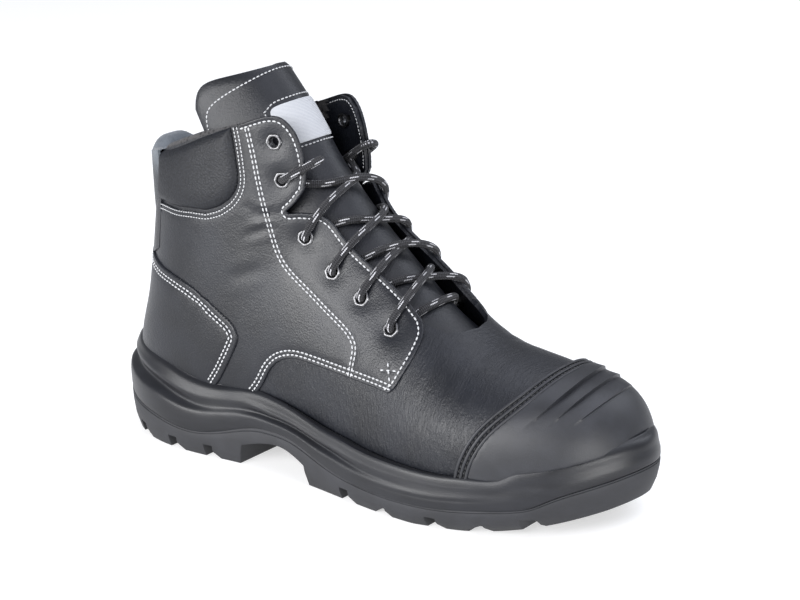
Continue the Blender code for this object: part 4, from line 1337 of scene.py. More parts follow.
def finish_of(context, label):
    """One of the boot's materials by its plain name, made when it is first asked for."""
    found = bpy.data.materials.get(label)
    if found:
        return found
    colours = context.scene.boot_colours
    makers = {
        "vamp leather": lambda n: smooth_leather(n, colours.leather, wrinkle=0.75, rough=0.36),
        "panel leather": lambda n: smooth_leather(n, colours.leather, wrinkle=0.0, rough=0.34),
        "tongue leather": lambda n: smooth_leather(n, colours.leather, wrinkle=0.2, rough=0.38),
        "collar leather": lambda n: pebbled_leather(n, colours.collar),
        "cap rubber": lambda n: moulded_rubber(n, colours.cap, rough=0.45),
        "nubuck strip": lambda n: nubuck(n, colours.nubuck),
        "textile lining": lambda n: woven_lining(n, colours.lining),
        "midsole foam": lambda n: moulded_foam(n, colours.midsole),
        "outsole rubber": lambda n: moulded_rubber(n, colours.outsole, rough=0.62),
        "eyelet metal": lambda n: plated_metal(n, colours.eyelet),
        "pale thread": lambda n: sewing_thread(n, colours.thread),
        "dark thread": lambda n: sewing_thread(n, lighter(colours.leather, 0.5)),
        "lace braid": lambda n: braided_lace(n, colours.lace, colours.fleck),
        "label weave": lambda n: woven_label(n, colours.label),
        "floor": pale_floor,
    }
    return makers[label](label)


# Outlines that several pieces share


def foot_line(first, last, side, drop, spacing=2.0):
    """A line round the upper, a little below the rim of the midsole."""
    sections = np.linspace(first, last, 80)
    turns = turn_at_level(sections, side, level_above("rim", -drop))
    return even(np.column_stack([sections, side * turns]), spacing)


def straight(first, last, spacing=2.0):
    share = np.linspace(0, 1, 30)[:, None]
    return even(np.array(first) + share * (np.array(last) - np.array(first)), spacing)


def wing_line(side):
    return line_on(WING_EDGE, side)


def throat_rows(rows, side):
    """A table of the facing's outline for one side, with the medial notch at its own height."""
    table = np.array(rows)
    if side > 0:
        table[:, 0] += read_rows(MEDIAL_NOTCH, table[:, 0])
    return table


def throat_line(side):
    """Up the front of the facing, round its corner, along the throat and over its top."""
    tables = (FACING_FRONT, FACING_EDGE, NOTCH_EDGE, FACING_TOP)
    return joined(*(line_on(throat_rows(rows, side), side, 0.7) for rows in tables))


def pad_line(side):
    """Down the front of the collar pad and along its lower seam to the back."""
    return joined(line_on(PAD_FRONT, side), line_on(PAD_LOW, side))


def quarter_outline(side):
    """The quarter: throat, seam of the collar pad, back, rim of the sole and wing."""
    seam = slid(pad_line(side), -PAD_GAP * side)[1:]
    back = (seam[-1][0], side * math.pi * 0.998)
    foot_back = sections_at_level(level_above("rim", -PANEL_LAP))[1] - 0.02
    wing = wing_line(side)
    foot = foot_line(foot_back, wing[0][0], side, PANEL_LAP)
    top = throat_line(side)
    outline = joined(
        top, straight(top[-1], seam[0], 1.0), seam, straight(back, (foot_back, back[1])), foot,
        straight(foot[-1], wing[0], 1.0), wing,
    )
    return outline[:-1]


def facing_rows(side):
    """The double row round the facing."""
    row = line_on(FACING_ROW, side)
    return [slid(row, -FACING_STITCH), slid(row, FACING_STITCH)]


def stitch_lines(side):
    """Rows of pale stitching on a quarter, as lines on the upper."""
    wing = wing_line(side)
    rows = [slid(throat_line(side), -THROAT_STITCH * side), *facing_rows(side)]
    rows += [slid(wing, -distance * side)[2:] for distance in WING_STITCHES]
    for corners in BARTACK:
        rows.append(straight(*(np.array(corners) * (1.0, side * math.pi / 180)), 0.9))
    return rows


def pad_stitches(side):
    """Two fine rows beside the collar pad's seam."""
    return [slid(pad_line(side), -distance * side)[1:-3] for distance in PAD_STITCHES]


def counter_edge(side):
    """Up the front of the heel counter and along its top to the back."""
    return joined(line_on(COUNTER_FRONT, side), line_on(COUNTER_TOP, side))


def counter_stitches(side):
    """The double row inside the heel counter's edge."""
    return [slid(counter_edge(side), -distance * side) for distance in COUNTER_STITCHES]


def cap_edge():
    """The toe cap's seam from the lateral rim over the ridge to the medial rim."""
    return joined(line_on(CAP_SEAM, -1), line_on(CAP_SEAM, 1)[::-1])


# Operators


class BOOT_OT_stage(bpy.types.Operator):
    """Floor, soft studio lights and the camera."""

    bl_idname = "boot.stage"
    bl_label = "Stage"

    lights = (
        # Columns: name, place, width, height, power, colour
        ("side_softbox", (-0.62, -1.36, 0.3), 1.0, 0.5, 29.0, (1.0, 1.0, 1.0)),
        ("front_softbox", (0.26, -1.35, 0.66), 0.8, 0.6, 20.0, (0.98, 0.98, 1.0)),
        ("low_softbox", (1.3, -0.35, 0.13), 0.8, 0.22, 11.0, (1.0, 1.0, 1.0)),
        ("toe_softbox", (0.8, 1.15, 1.1), 1.0, 1.1, 11.6, (0.87, 0.91, 1.0)),
        ("high_softbox", (0.75, -0.22, 1.12), 0.8, 0.8, 6.3, (0.87, 0.89, 1.0)),
        ("top_softbox", (-0.1, 0.5, 1.6), 1.4, 1.4, 14.6, (0.87, 0.9, 1.0)),
    )

    def execute(self, context):
        scene = context.scene
        mesh = bpy.data.meshes.new("floor")
        corners = [(x * FLOOR_HALF, y * FLOOR_HALF, 0.0) for x, y in ((-1, -1), (1, -1), (1, 1), (-1, 1))]
        mesh.from_pydata(corners, [], [(0, 1, 2, 3)])
        mesh.materials.append(finish_of(context, "floor"))
        floor = linked("floor", mesh)
        floor.location.z = -FLOOR_DROP
        world = bpy.data.worlds.new("studio")
        world.use_nodes = True
        sky = world.node_tree.nodes["Background"].inputs
        sky["Color"].default_value = WORLD_COLOUR
        sky["Strength"].default_value = WORLD_STRENGTH
        scene.world = world
        scene.view_settings.view_transform = "Standard"
        target = Vector(metres(VIEW_TARGET))
        for name, place, wide, high, power, colour in self.lights:
            light = bpy.data.lights.new(name, "AREA")
            light.shape = "RECTANGLE"
            light.size = wide
            light.size_y = high
            light.energy = power
            light.color = colour
            lamp = linked(name, light)
            lamp.location = place
            lamp.rotation_euler = (target - lamp.location).to_track_quat("-Z", "Y").to_euler()
        camera = linked("camera", bpy.data.cameras.new("camera"))
        flat = math.cos(VIEW_ELEVATION)
        ahead, aside = math.sin(VIEW_AZIMUTH) * flat, -math.cos(VIEW_AZIMUTH) * flat
        back = Vector((ahead, aside, math.sin(VIEW_ELEVATION)))
        camera.location = target + back * VIEW_DISTANCE
        camera.rotation_euler = (-back).to_track_quat("-Z", "Y").to_euler()
        camera.data.lens = VIEW_LENS
        camera.data.sensor_fit = "HORIZONTAL"
        scene.camera = camera
        return {"FINISHED"}


class BOOT_OT_lace_tails(bpy.types.Operator):
    """The lace's two ends, from the second eyelets over the facing and in behind it."""

    bl_idname = "boot.lace_tails"
    bl_label = "Lace ends"

    def execute(self, context):
        diameter = context.scene.boot_sizes.lace_diameter
        for side, name in SIDES:
            route = smooth_route(tail_points(side))
            cord = make_cord(
                f"lace_tail_{name}", route, diameter / 2 / MM, finish_of(context, "lace braid"), "lace_cord",
                [f"lace_end_{name}"],
            )
            path = metres(route)
        return {"FINISHED"}


class BOOT_OT_outsole(bpy.types.Operator):
    """Rubber outsole with its lugs, arch and moulded edge line."""

    bl_idname = "boot.outsole"
    bl_label = "Outsole"

    def execute(self, context):
        outline, inwards = sole_ring(SOLE_STEPS)
        centre, reach, depth = TOE_BEVEL
        rings = []
        for share, inset in ((1.0, SOLE_INNER), *OUTSOLE_WALL, (0.0, SOLE_INNER)):
            grown = (1 - share) ** 2 * depth * np.clip(1 - ((outline[:, 0] - centre) / reach) ** 2, 0, 1)
            ring = outline + inwards * (inset + grown)[:, None]
            low, high = tread(ring[:, 0]), LEVEL["joint"](ring[:, 0]) - 0.1
            rings.append(np.column_stack([ring, low + share * (high - low)]))
        obj = plain_object("outsole_blank", np.concatenate(rings), ring_faces(len(rings), len(outline)))
        cutters = [arch_cutter(), *tread_cutters()]
        for cutter in cutters:
            cut = obj.modifiers.new("gap", "BOOLEAN")
            cut.operation = "DIFFERENCE"
            cut.solver = "EXACT"
            cut.object = cutter
        bevel = obj.modifiers.new("worn edges", "BEVEL")
        bevel.width = WORN_EDGE
        bevel.segments = 2
        bevel.limit_method = "ANGLE"
        bevel.angle_limit = math.radians(40)
        mesh = baked(obj)
        for cutter in cutters:
            bpy.data.objects.remove(cutter)
        mesh.materials.clear()
        mesh.materials.append(finish_of(context, "outsole rubber"))
        finish_piece("tread_sole", mesh, "outsole_rubber", ["outsole"], sharp=40.0)
        return {"FINISHED"}


class BOOT_OT_midsole(bpy.types.Operator):
    """Foam midsole: a moulded wall with flowing grooves, a rolled rim and the cup inside it."""

    bl_idname = "boot.midsole"
    bl_label = "Midsole"

    def execute(self, context):
        outline, inwards = sole_ring(SOLE_STEPS)
        profile = spline(*np.array(MIDSOLE_WALL).T)
        x = outline[:, 0]
        joint, rim = LEVEL["joint"](x), LEVEL["rim"](x)
        roll = read_rows(RIM_ROLL, x)
        rings = [np.column_stack([outline + inwards * SOLE_INNER, joint])]
        shares = (np.linspace(0, 0.1, 6), np.linspace(0.13, 0.9, 40), np.linspace(0.92, 1, 7))
        for share in np.concatenate(shares):
            flatter = (1 - roll) * max(float(profile(share)) - ROLL_INSET, 0.0)
            inset = profile(share) - flatter + wall_grooves(x, share)
            ring = outline + inwards * inset[:, None]
            rings.append(np.column_stack([ring, joint + share * (rim - joint)]))
        lip = rings[-1]
        seat = seat_line(lip)
        for level, share in RIM_LEVELS:
            rings.append(np.column_stack([lip[:, :2] + share * (seat - lip[:, :2]), rim + level * roll]))
        inner, floor = (cup_line(CUP_DROP, offset, lip) for offset in CUP_OFFSETS)
        rings.append(np.column_stack([inner, rim + CUP_DROP]))
        rings.append(np.column_stack([floor, LEVEL["floor"](floor[:, 0])]))
        make_piece(
            "midsole_wall", np.concatenate(rings), ring_faces(len(rings), len(outline)),
            [finish_of(context, "midsole foam")], slot="midsole_foam", nodes=["midsole"],
        )
        return {"FINISHED"}


class BOOT_OT_shell(bpy.types.Operator):
    """The vamp's leather and the textile lining behind it, as one hollow shell."""

    bl_idname = "boot.shell"
    bl_label = "Vamp and lining"

    def execute(self, context):
        foot = level_above("floor", UPPER_LIFT)
        first, back = sections_at_level(foot)
        edges = FACING_EDGE + NOTCH_EDGE + FACING_TOP
        marks = [throat_rows(edges, side)[:, 0] for side, _ in SIDES]
        runs = [np.linspace(first, 7.5, 100), np.linspace(7.5, 8.6, 24), np.linspace(8.6, 16.98, 110)]
        sections = np.unique(np.round(np.concatenate([*runs, *marks, [back]]), 3))
        share = np.linspace(0, 1, 46)
        places, faces = [], []
        for side, _ in SIDES:
            top = shell_throat(sections, side)[:, None]
            low = turn_at_level(sections, side, foot)[:, None]
            grid = np.stack([sections[:, None] + 0 * share, side * (top + (low - top) * share)], -1)
            quads = grid_faces(len(sections), len(share), len(places) * len(sections) * len(share))
            faces += quads if side < 0 else [quad[::-1] for quad in quads]
            places.append(grid.reshape(-1, 2))
        places = np.concatenate(places)
        points = upper_point(*places.T)
        _, index, back_index = np.unique(np.round(points, 2), axis=0, return_index=True, return_inverse=True)
        places, points = places[index], points[index]
        faces = [tuple(dict.fromkeys(back_index.ravel()[list(f)])) for f in faces]
        faces = [f for f in faces if len(f) > 2]
        holes = np.concatenate([eyelet_middles(side) for side, _ in SIDES])
        centres = np.array([points[list(f)].mean(axis=0) for f in faces])
        keep = nearest(centres, holes) > EYELET_HOLE + HOLE_ROOM
        faces = [f for f, kept in zip(faces, keep) if kept]
        front = smooth_step(points[:, 0], -40, 10)
        rise = -crease_depth(points, CREASE_ROWS) + waviness(points, 21.0, 0.1) * front
        rise -= sum(dents(points, side) for side, _ in SIDES)
        outer = upper_offset(*places.T, rise)
        inner = upper_offset(*places.T, -WALL)
        materials = [finish_of(context, "vamp leather"), finish_of(context, "textile lining")]
        middles = np.array([places[list(f)].mean(axis=0) for f in faces])
        lined = (middles[:, 0] < LINED_BEFORE) | (np.abs(middles[:, 1]) > LINED_BEYOND)
        shell(
            "vamp_and_lining", outer, inner, faces, materials, lined, slot="upper_leather", nodes=["upper"]
        )
        return {"FINISHED"}


class BOOT_OT_quarters(bpy.types.Operator):
    """The two quarters with their facings, stitched over the vamp."""

    bl_idname = "boot.quarters"
    bl_label = "Quarters"

    def execute(self, context):
        for side, name in SIDES:
            rows = stitch_lines(side) + pad_stitches(side)

            def height(places, points, edge, side=side, rows=rows):
                rise = rounded(edge, QUARTER_HEIGHT, 0.7)
                rise = rise - groove(points, rows, *QUARTER_PULL) - dents(points, side)
                bend = waviness(points, 17.0, 0.08) - crease_depth(points, ANKLE_CREASES, side)
                return rise + smooth_step(edge, 1.0, 8.0) * bend

            make_panel(
                f"quarter_{name}", quarter_outline(side), height, finish_of(context, "panel leather"),
                rims=(0.15, 0.4, 0.8), rows=ribbons(rows), holes=eyelet_middles(side), slot="upper_leather",
            )
        return {"FINISHED"}


class BOOT_OT_counter(bpy.types.Operator):
    """The heel counter's overlay, round the back from side to side."""

    bl_idname = "boot.counter"
    bl_label = "Heel counter"

    def execute(self, context):
        lateral, medial = counter_edge(-1), counter_edge(1)
        lateral[:, 1] += 2 * math.pi
        back = sections_at_level(level_above("rim", -PANEL_LAP))[1]
        near = foot_line(lateral[0][0], back, -1, PANEL_LAP)
        far = foot_line(medial[0][0], back, 1, PANEL_LAP)
        near[:, 1] += 2 * math.pi
        outline = joined(
            medial, lateral[::-1], straight(lateral[0], near[0], 1.0), near, far[::-1],
            straight(far[0], medial[0], 1.0),
        )[:-1]
        rows = [row for side, _ in SIDES for row in counter_stitches(side)]

        def height(places, points, edge):
            rise = rounded(edge, COUNTER_HEIGHT, 0.9) - groove(points, rows, *COUNTER_PULL)
            return rise + smooth_step(edge, 1.0, 9.0) * waviness(points, 20.0, 0.08)

        for row in rows:
            row[row[:, 1] < 0, 1] += 2 * math.pi
        make_panel(
            "heel_panel", outline, height, finish_of(context, "panel leather"), spacing=1.7,
            rows=ribbons(rows), slot="upper_leather", nodes=["heel_counter"],
        )
        return {"FINISHED"}


class BOOT_OT_collar(bpy.types.Operator):
    """The padded collar, its lining roll and the strip up the back."""

    bl_idname = "boot.collar"
    bl_label = "Collar"

    def execute(self, context):
        lateral, medial = pad_line(-1), pad_line(1)
        lateral[:, 1] += 2 * math.pi
        top = straight(lateral[0], medial[0], 2.0)
        turned = math.pi - np.abs(top[:, 1] - math.pi)
        beside = np.clip((turned - math.radians(80)) / math.radians(72), 0, 1)
        top[:, 0] -= PAD_DIP * np.sin(math.pi * beside) ** 2
        outline = joined(medial, lateral[::-1], top)[:-1]

        def height(places, points, edge):
            around = np.linalg.norm(upper_steps(*places.T)[1], axis=1)
            beside = (np.abs(places[:, 1] - math.pi) - 0.92 * strip_half(places[:, 0])) * around
            edge = np.minimum(edge, np.clip(beside, 0, None))
            swell = np.sqrt(np.clip(1 - (1 - np.clip(edge / PAD_ROLL, 0, 1)) ** 2.4, 0, 1))
            rise = PAD_EDGE + (PAD_HEIGHT - PAD_EDGE) * swell
            return rise + smooth_step(edge, 2.0, 12.0) * waviness(points, 12.0, 0.12)

        pad = make_panel(
            "collar_cushion", outline, height, finish_of(context, "collar leather"), spacing=1.8,
            rims=(0.08, 0.3, 0.7, 1.3, 2.1, 3.2, 4.6), slot="collar_leather", nodes=["collar_pad"],
        )
        self.make_roll(context)
        self.make_strip(context)
        return {"FINISHED"}

    def make_roll(self, context):
        """The textile roll inside the collar's top edge, down to the lining."""
        turns = np.linspace(ROLL_START, 2 * math.pi - ROLL_START, 150)
        table = np.array(COLLAR_ROLL)
        profile = spline(np.arange(len(table)), table)(np.linspace(0, len(table) - 1, 44))
        ends = smooth_step(np.minimum(turns, 2 * math.pi - turns), ROLL_START, ROLL_FULL)
        strip = strip_half(COLLAR_TOP)
        clear = smooth_step(np.abs(turns - math.pi), 0.85 * strip, 1.1 * strip)
        rows = []
        for section, offset, lift in profile:
            offset = np.where(offset < ROLL_SEAT, ROLL_SEAT + (offset - ROLL_SEAT) * ends, offset)
            soft = 0.12 * np.sin(turns * 31) * ends
            point = upper_offset(section, turns, offset + soft)
            point[:, 2] += lift * (0.25 + 0.75 * ends) * clear
            rows.append(point)
        outer = np.concatenate(rows)
        under = np.concatenate([
            upper_offset(min(section, 16.9), turns, np.clip(offset - 0.6, -2.2, -0.2))
            for section, offset, _ in profile
        ])
        roll = shell(
            "collar_lining", outer, under, grid_faces(len(rows), len(turns)),
            [finish_of(context, "textile lining")], slot="insole_felt",
        )

    def make_strip(self, context):
        """A nubuck strip that rolls over the collar's top, and the leather strip under it."""
        across = np.linspace(-1, 1, 25)
        rows = []
        edge = STRIP_EDGE * np.abs(across) ** 5
        for section in np.linspace(STRIP_FOOT, COLLAR_TOP, 40):
            turns = math.pi + strip_half(section) * across
            rise = PAD_HEIGHT * ((section - STRIP_FOOT) / (COLLAR_TOP - STRIP_FOOT)) ** 0.8
            rows.append(upper_offset(section, turns, 1.7 + rise - edge))
        top = upper_offset(COLLAR_TOP, turns, 0.4)
        out = upper_normal(np.full(len(turns), 16.9), turns)
        crest = np.exp(-(((turns - math.pi) / STRIP_CREST) ** 4))
        for angle in np.linspace(0.0, math.pi * 0.9, 16):
            point = top + out * (5.2 * math.cos(angle) - 0.2 - edge)[:, None]
            bulge = (1.2 + 3.4 * crest) * math.sin(angle)
            point[:, 2] += STRIP_RISE * crest + bulge - 0.5 * np.abs(across) ** 6
            rows.append(point)
        for section in np.linspace(16.9, 16.2, 10):
            rows.append(upper_offset(section, turns, -7.6 + 0.8 * np.abs(across) ** 6))
        outer = np.concatenate(rows)
        inner = outer - np.concatenate([strip_out(row) for row in rows]) * STRIP_THICKNESS
        shell(
            "back_strip", outer, inner, grid_faces(len(rows), len(across)),
            [finish_of(context, "nubuck strip")], slot="strap_nubuck", nodes=["back_strap"],
        )
        low = np.linspace(14.9, 16.02, 30)
        turns = math.pi + strip_half(low)[:, None] * across
        sections = low[:, None] + 0 * across
        outer = upper_offset(sections, turns, 2.0 - 0.7 * np.abs(across) ** 10).reshape(-1, 3)
        inner = upper_offset(sections, turns, 0.0).reshape(-1, 3)
        shell(
            "back_seam_strip", outer, inner, grid_faces(len(low), len(across)),
            [finish_of(context, "panel leather")], slot="upper_leather",
        )


class BOOT_OT_toe_cap(bpy.types.Operator):
    """The rubbered toe cap with its overlapping steps and corded seam."""

    bl_idname = "boot.toe_cap"
    bl_label = "Toe cap"

    def execute(self, context):
        seam = cap_edge()
        first = sections_at_level(level_above("rim", -CAP_LAP))[0]
        near, far = (foot_line(first + 0.01, CAP_SEAM[0][0], side, CAP_LAP) for side, _ in SIDES)
        outline = joined(
            seam, straight(seam[-1], far[-1], 1.0), far[::-1], near, straight(near[-1], seam[0], 1.0)
        )[:-1]
        cords = [slid(seam, -distance) for distance in CAP_CORDS]
        holes = [slid(seam, -distance) for distance in CAP_HOLES]

        def height(places, points, edge):
            return rounded(edge, CAP_HEIGHT, 1.2) + cap_steps(places) - groove(points, holes, *CAP_PULL)

        rubber = finish_of(context, "cap rubber")
        make_panel(
            "toe_guard", outline, height, rubber, spacing=1.2, rows=ribbons(holes) + cap_ridges(),
            slot="toe_cap_leather", nodes=["toe_cap"],
        )
        for number, line in enumerate(cords, 1):
            route = upper_offset(*line.T, CAP_HEIGHT - CAP_CORD_SINK)
            make_cord(f"toe_seam_cord_{number}", route, CAP_CORD_RADIUS, rubber, "toe_cap_leather", sides=10)
        rows = [upper_offset(*line.T, CAP_HEIGHT - CAP_STITCH_SINK) for line in holes]
        stitch_piece("toe_seam_stitches", rows, context.scene.boot_sizes, finish_of(context, "dark thread"))
        return {"FINISHED"}


class BOOT_OT_tongue(bpy.types.Operator):
    """The leather tongue with its sewn edge and a plain woven label."""

    bl_idname = "boot.tongue"
    bl_label = "Tongue"

    def execute(self, context):
        wide = np.sin(np.linspace(-1, 1, 61) * math.pi / 2)
        along, across = np.meshgrid(np.linspace(0, 1, 120), wide, indexing="ij")
        rim = np.minimum(1 - np.abs(across), (1 - along) * 6)
        swell = np.sqrt(np.clip(1 - (1 - np.clip(rim / 0.1, 0, 1)) ** 2, 0, 1))
        outer = tongue_point(along, across)
        out = tongue_out(along, across)
        soft = waviness(outer.reshape(-1, 3), 15.0, 0.12).reshape(along.shape) * swell
        face = outer + out * (soft - TONGUE_RIM * (1 - swell))[..., None]
        back = outer - out * (TONGUE_RIM + (TONGUE_THICKNESS - TONGUE_RIM) * swell)[..., None]
        shell(
            "tongue_pad", face.reshape(-1, 3), back.reshape(-1, 3), grid_faces(*along.shape),
            [finish_of(context, "tongue leather"), finish_of(context, "textile lining")],
            slot="tongue_leather", nodes=["tongue"],
        )
        self.make_label(context)
        return {"FINISHED"}

    def make_label(self, context):
        """A thin woven patch with round corners."""
        share = np.linspace(-1, 1, 25)
        low, high = LABEL_ALONG
        up, wide = np.meshgrid(share, share, indexing="ij")
        corner = (np.abs(up) ** 8 + np.abs(wide) ** 8) ** (1 / 8)
        squeeze = np.maximum(np.abs(up), np.abs(wide)) / np.maximum(corner, 1e-6)
        along = (low + high) / 2 + (high - low) / 2 * up * squeeze
        across = LABEL_ACROSS * wide * squeeze
        edge = 1 - np.maximum(np.abs(up), np.abs(wide))
        rise = LABEL_HEIGHT * (0.45 + 0.55 * np.clip(edge / 0.1, 0, 1) ** 0.5)
        out = tongue_out(along, across)
        face = tongue_point(along, across) + out * (rise + LABEL_LIFT)[..., None]
        back = tongue_point(along, across) - out * LABEL_SINK
        shell(
            "tongue_label", face.reshape(-1, 3), back.reshape(-1, 3), grid_faces(*along.shape),
            [finish_of(context, "label weave")],
        )


class BOOT_OT_eyelets(bpy.types.Operator):
    """Hexagonal eyelets in both facings."""

    bl_idname = "boot.eyelets"
    bl_label = "Eyelets"

    def execute(self, context):
        steps = 36
        angles = np.linspace(0, 2 * math.pi, steps, endpoint=False)
        sector = (angles + math.pi / 6) % (math.pi / 3) - math.pi / 6
        hexagon = np.minimum(1 / np.cos(sector), EYELET_CORNER)
        rings = []
        for radius, height, share in EYELET_PROFILE:
            around = radius * (1 + share * (hexagon - 1))
            ring = around * np.cos(angles), around * np.sin(angles), np.full(steps, height)
            rings.append(np.column_stack(ring))
        total = len(rings) * steps
        quads = grid_faces(len(rings) + 1, steps, around=True)
        faces = [tuple(corner % total for corner in quad) for quad in quads]
        template = plain_object("eyelet_blank", np.concatenate(rings) + MIDDLE, faces)
        nodes, spots, outs, downs = [], [], [], []
        for side, name in SIDES:
            for row in range(len(EYELET_ROWS)):
                middle, out, down = eyelet_frame(row, side)
                nodes.append(f"eyelet_{name}_{row + 1}")
                spots.append(middle + out * (QUARTER_HEIGHT - EYELET_DENT[0] + EYELET_SEAT))
                outs.append(out)
                downs.append(down)
        holder = plain_object("eyelet_points", spots, [])
        for label, values in (("out", outs), ("down", downs)):
            store = holder.data.attributes.new(label, "FLOAT_VECTOR", "POINT")
            store.data.foreach_set("vector", np.array(values, np.float32).ravel())
        mesh = run_tree(holder, eyelet_tree(), Eyelet=template, Material=finish_of(context, "eyelet metal"))
        bpy.data.objects.remove(template)
        finish_piece("eyelets", mesh, "eyelet_metal", nodes, sharp=60.0)
        return {"FINISHED"}


class BOOT_OT_lace(bpy.types.Operator):
    """The lace from eyelet to eyelet: out, over the facing, across the tongue and under again."""

    bl_idname = "boot.lace"
    bl_label = "Lace"

    def execute(self, context):
        radius = context.scene.boot_sizes.lace_diameter / 2 / MM
        braid = finish_of(context, "lace braid")
        for row in range(len(EYELET_ROWS) - 1, 1, -1):
            number = len(EYELET_ROWS) - row
            for side, name in SIDES:
                nodes = [f"lace_cross_{number}"] if side < 0 else []
                route = smooth_route(strand_points(row, side, radius))
                make_cord(f"lace_strand_{name}_{number}", route, radius, braid, "lace_cord", nodes)
        last = len(EYELET_ROWS) - 1
        middle = [tongue_over(BAR_SECTION, across, radius + BAR_ROOM) for across in BAR_ACROSS]
        route = [*eyelet_way(last, -1)[::-1], *middle, *eyelet_way(last, 1)]
        make_cord("lace_bottom_bar", smooth_route(route), radius, braid, "lace_cord", ["lace_bar"])
        return {"FINISHED"}


class BOOT_OT_stitching(bpy.types.Operator):
    """Pale stitching on the quarters, counter, tongue and label."""

    bl_idname = "boot.stitching"
    bl_label = "Stitching"

    def execute(self, context):
        sizes = context.scene.boot_sizes
        thread = finish_of(context, "pale thread")
        for side, name in SIDES:
            rows = [upper_offset(*row.T, QUARTER_HEIGHT - STITCH_SINK) for row in stitch_lines(side)]
            rows += [upper_offset(*row.T, COUNTER_HEIGHT - COUNTER_SINK) for row in counter_stitches(side)]
            stitch_piece(f"stitches_{name}", rows, sizes, thread)
            rows = [upper_offset(*row.T, QUARTER_HEIGHT - STITCH_SINK) for row in pad_stitches(side)]
            inner = slid(line_on(FACING_TOP, side)[:-6], -LINING_STITCH * side)
            rows.append(upper_offset(*inner.T, -WALL))
            stitch_piece(f"collar_stitches_{name}", rows, sizes, thread, scale=FINE_STITCH)
        stitch_piece("stitches_tongue", tongue_rows(), sizes, thread, scale=TONGUE_STITCH)
        return {"FINISHED"}


class BOOT_OT_insole(bpy.types.Operator):
    """The footbed's felt."""

    bl_idname = "boot.insole"
    bl_label = "Insole"

    def execute(self, context):
        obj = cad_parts["insole"]
        obj.material_slots[0].material = finish_of(context, "textile lining")
        return {"FINISHED"}


# Shapes that the operators use


def ring_faces(rings, count):
    """Faces over rings that lie on each other, closed by caps that join the two sides."""
    faces = grid_faces(rings, count, around=True)
    half = count // 2
    for base in (0, (rings - 1) * count):
        for i in range(half):
            left, right = (count - i) % count, count - i - 1
            faces.append(tuple(dict.fromkeys((base + i, base + i + 1, base + right, base + left))))
    return faces


def prism(name, profile, ends):
    """A working solid: a profile of x and z, drawn out between two values of y."""
    count = len(profile)
    points = [(x, y, z) for y in ends for x, z in profile]
    faces = [tuple(range(count)), tuple(range(count, 2 * count))]
    faces += [(i, (i + 1) % count, count + (i + 1) % count, count + i) for i in range(count)]
    return plain_object(name, points, faces)


def tread_cutters():
    """The gaps between the lugs, with a slope before and a cut corner after each, and the channels."""
    deep, far = -8.0, 80.0
    made = []
    for x, width, depth, inner, slope, corner in LUG_GAP_ROWS:
        start, end = x - width / 2, x + width / 2
        before = [(start - slope, deep), (start - slope, 0.0)] if slope else [(start, deep)]
        after = [(end, min(0.8 * corner, 0.9 * depth)), (end + corner, 0.0), (end + corner, deep)]
        profile = [*before, (start, depth), (end, depth), *after]
        floor = float(tread(np.array(x)))
        profile = [(px, pz + floor) for px, pz in profile]
        made += [prism("lug_gap", profile, (side * inner, side * far)) for side, _ in SIDES]
    half = CHANNEL_WIDTH / 2
    for start, end in TREAD_CHANNELS:
        profile = [(start, deep), (start, CHANNEL_DEPTH), (end, CHANNEL_DEPTH), (end, deep)]
        made.append(prism("channel", profile, (-half, half)))
    return made


def arch_cutter():
    """The space under the arch between heel and forefoot."""
    table = np.array(ARCH_ROWS)
    inner = table[1:-1]
    curve = spline(*inner.T)
    xs = np.linspace(inner[0, 0], inner[-1, 0], 24)
    profile = [tuple(table[0]), *zip(xs, curve(xs)), tuple(table[-1])]
    return prism("arch_space", profile, (-90.0, 90.0))


def wall_grooves(x, share):
    """How far the moulded grooves and the upper half of the midsole's wall stand back."""
    total = np.zeros_like(x)
    grooves = (HEEL_GROOVE, GROOVE_WIDTH), (WAIST_GROOVE, GROOVE_WIDTH), (LOW_GROOVE, FINE_GROOVE)
    for rows, width in grooves:
        middle, depth = (read_rows([(row[0], row[i]) for row in rows], x) for i in (1, 2))
        total += depth * np.exp(-(((share - middle) / width) ** 2))
        total -= 0.3 * depth * np.exp(-(((share - middle - 2.2 * width) / width) ** 2))
    total += read_rows(TOE_DRAFT, x) * share
    return total + read_rows(LIP_ROWS, x) * smooth_step(share, *LIP_RISE)


def cup_line(level, offset, lip):
    """Where the rim of the midsole meets the upper, for each point of its lip, seen from above."""
    height = level_above("rim", min(level, 0.0))
    first, back = sections_at_level(height, offset)
    sections = first + (back - first) * (1 - np.cos(np.linspace(0, math.pi, 400))) / 2
    halves = []
    for side, _ in SIDES:
        turns = side * turn_at_level(sections, side, height, offset)
        halves.append(upper_offset(sections, turns, offset)[:, :2])
    loop = np.concatenate(halves)
    return np.array([loop[np.linalg.norm(loop - p, axis=1).argmin()] for p in lip[:, :2]])


def seat_line(lip):
    """Where the midsole's rim touches the leather panels, for each point of its lip, seen from above."""
    shell_line = cup_line(0.0, 0.0, lip)
    way = lip[:, :2] - shell_line
    gap = np.linalg.norm(way, axis=1)
    stand = np.minimum(read_rows(SEAT_ROWS, lip[:, 0]), 0.8 * gap)
    return shell_line + way * (stand / np.maximum(gap, 0.01))[:, None]


def shell_throat(sections, side):
    """The turn of the shell's throat edge on one side, a little behind the facing's."""
    table = throat_rows(THROAT_FRONT + FACING_EDGE[:-1] + NOTCH_EDGE[:-1] + FACING_TOP, side)
    back = np.where(sections > 8.4, 1.0, 0.0)
    return np.radians(read_rows(table, sections) + back)


def strip_half(section):
    """Half the angle that the strip up the back takes at a section."""
    return np.radians(read_rows(STRIP_ROWS, section))


def strip_out(row):
    """A direction out of the collar, for points of a strip at its back."""
    middle = np.array([-95.0, 0.0, 150.0])
    return unit((row - middle) * np.array([1.0, 1.0, 0.35]))


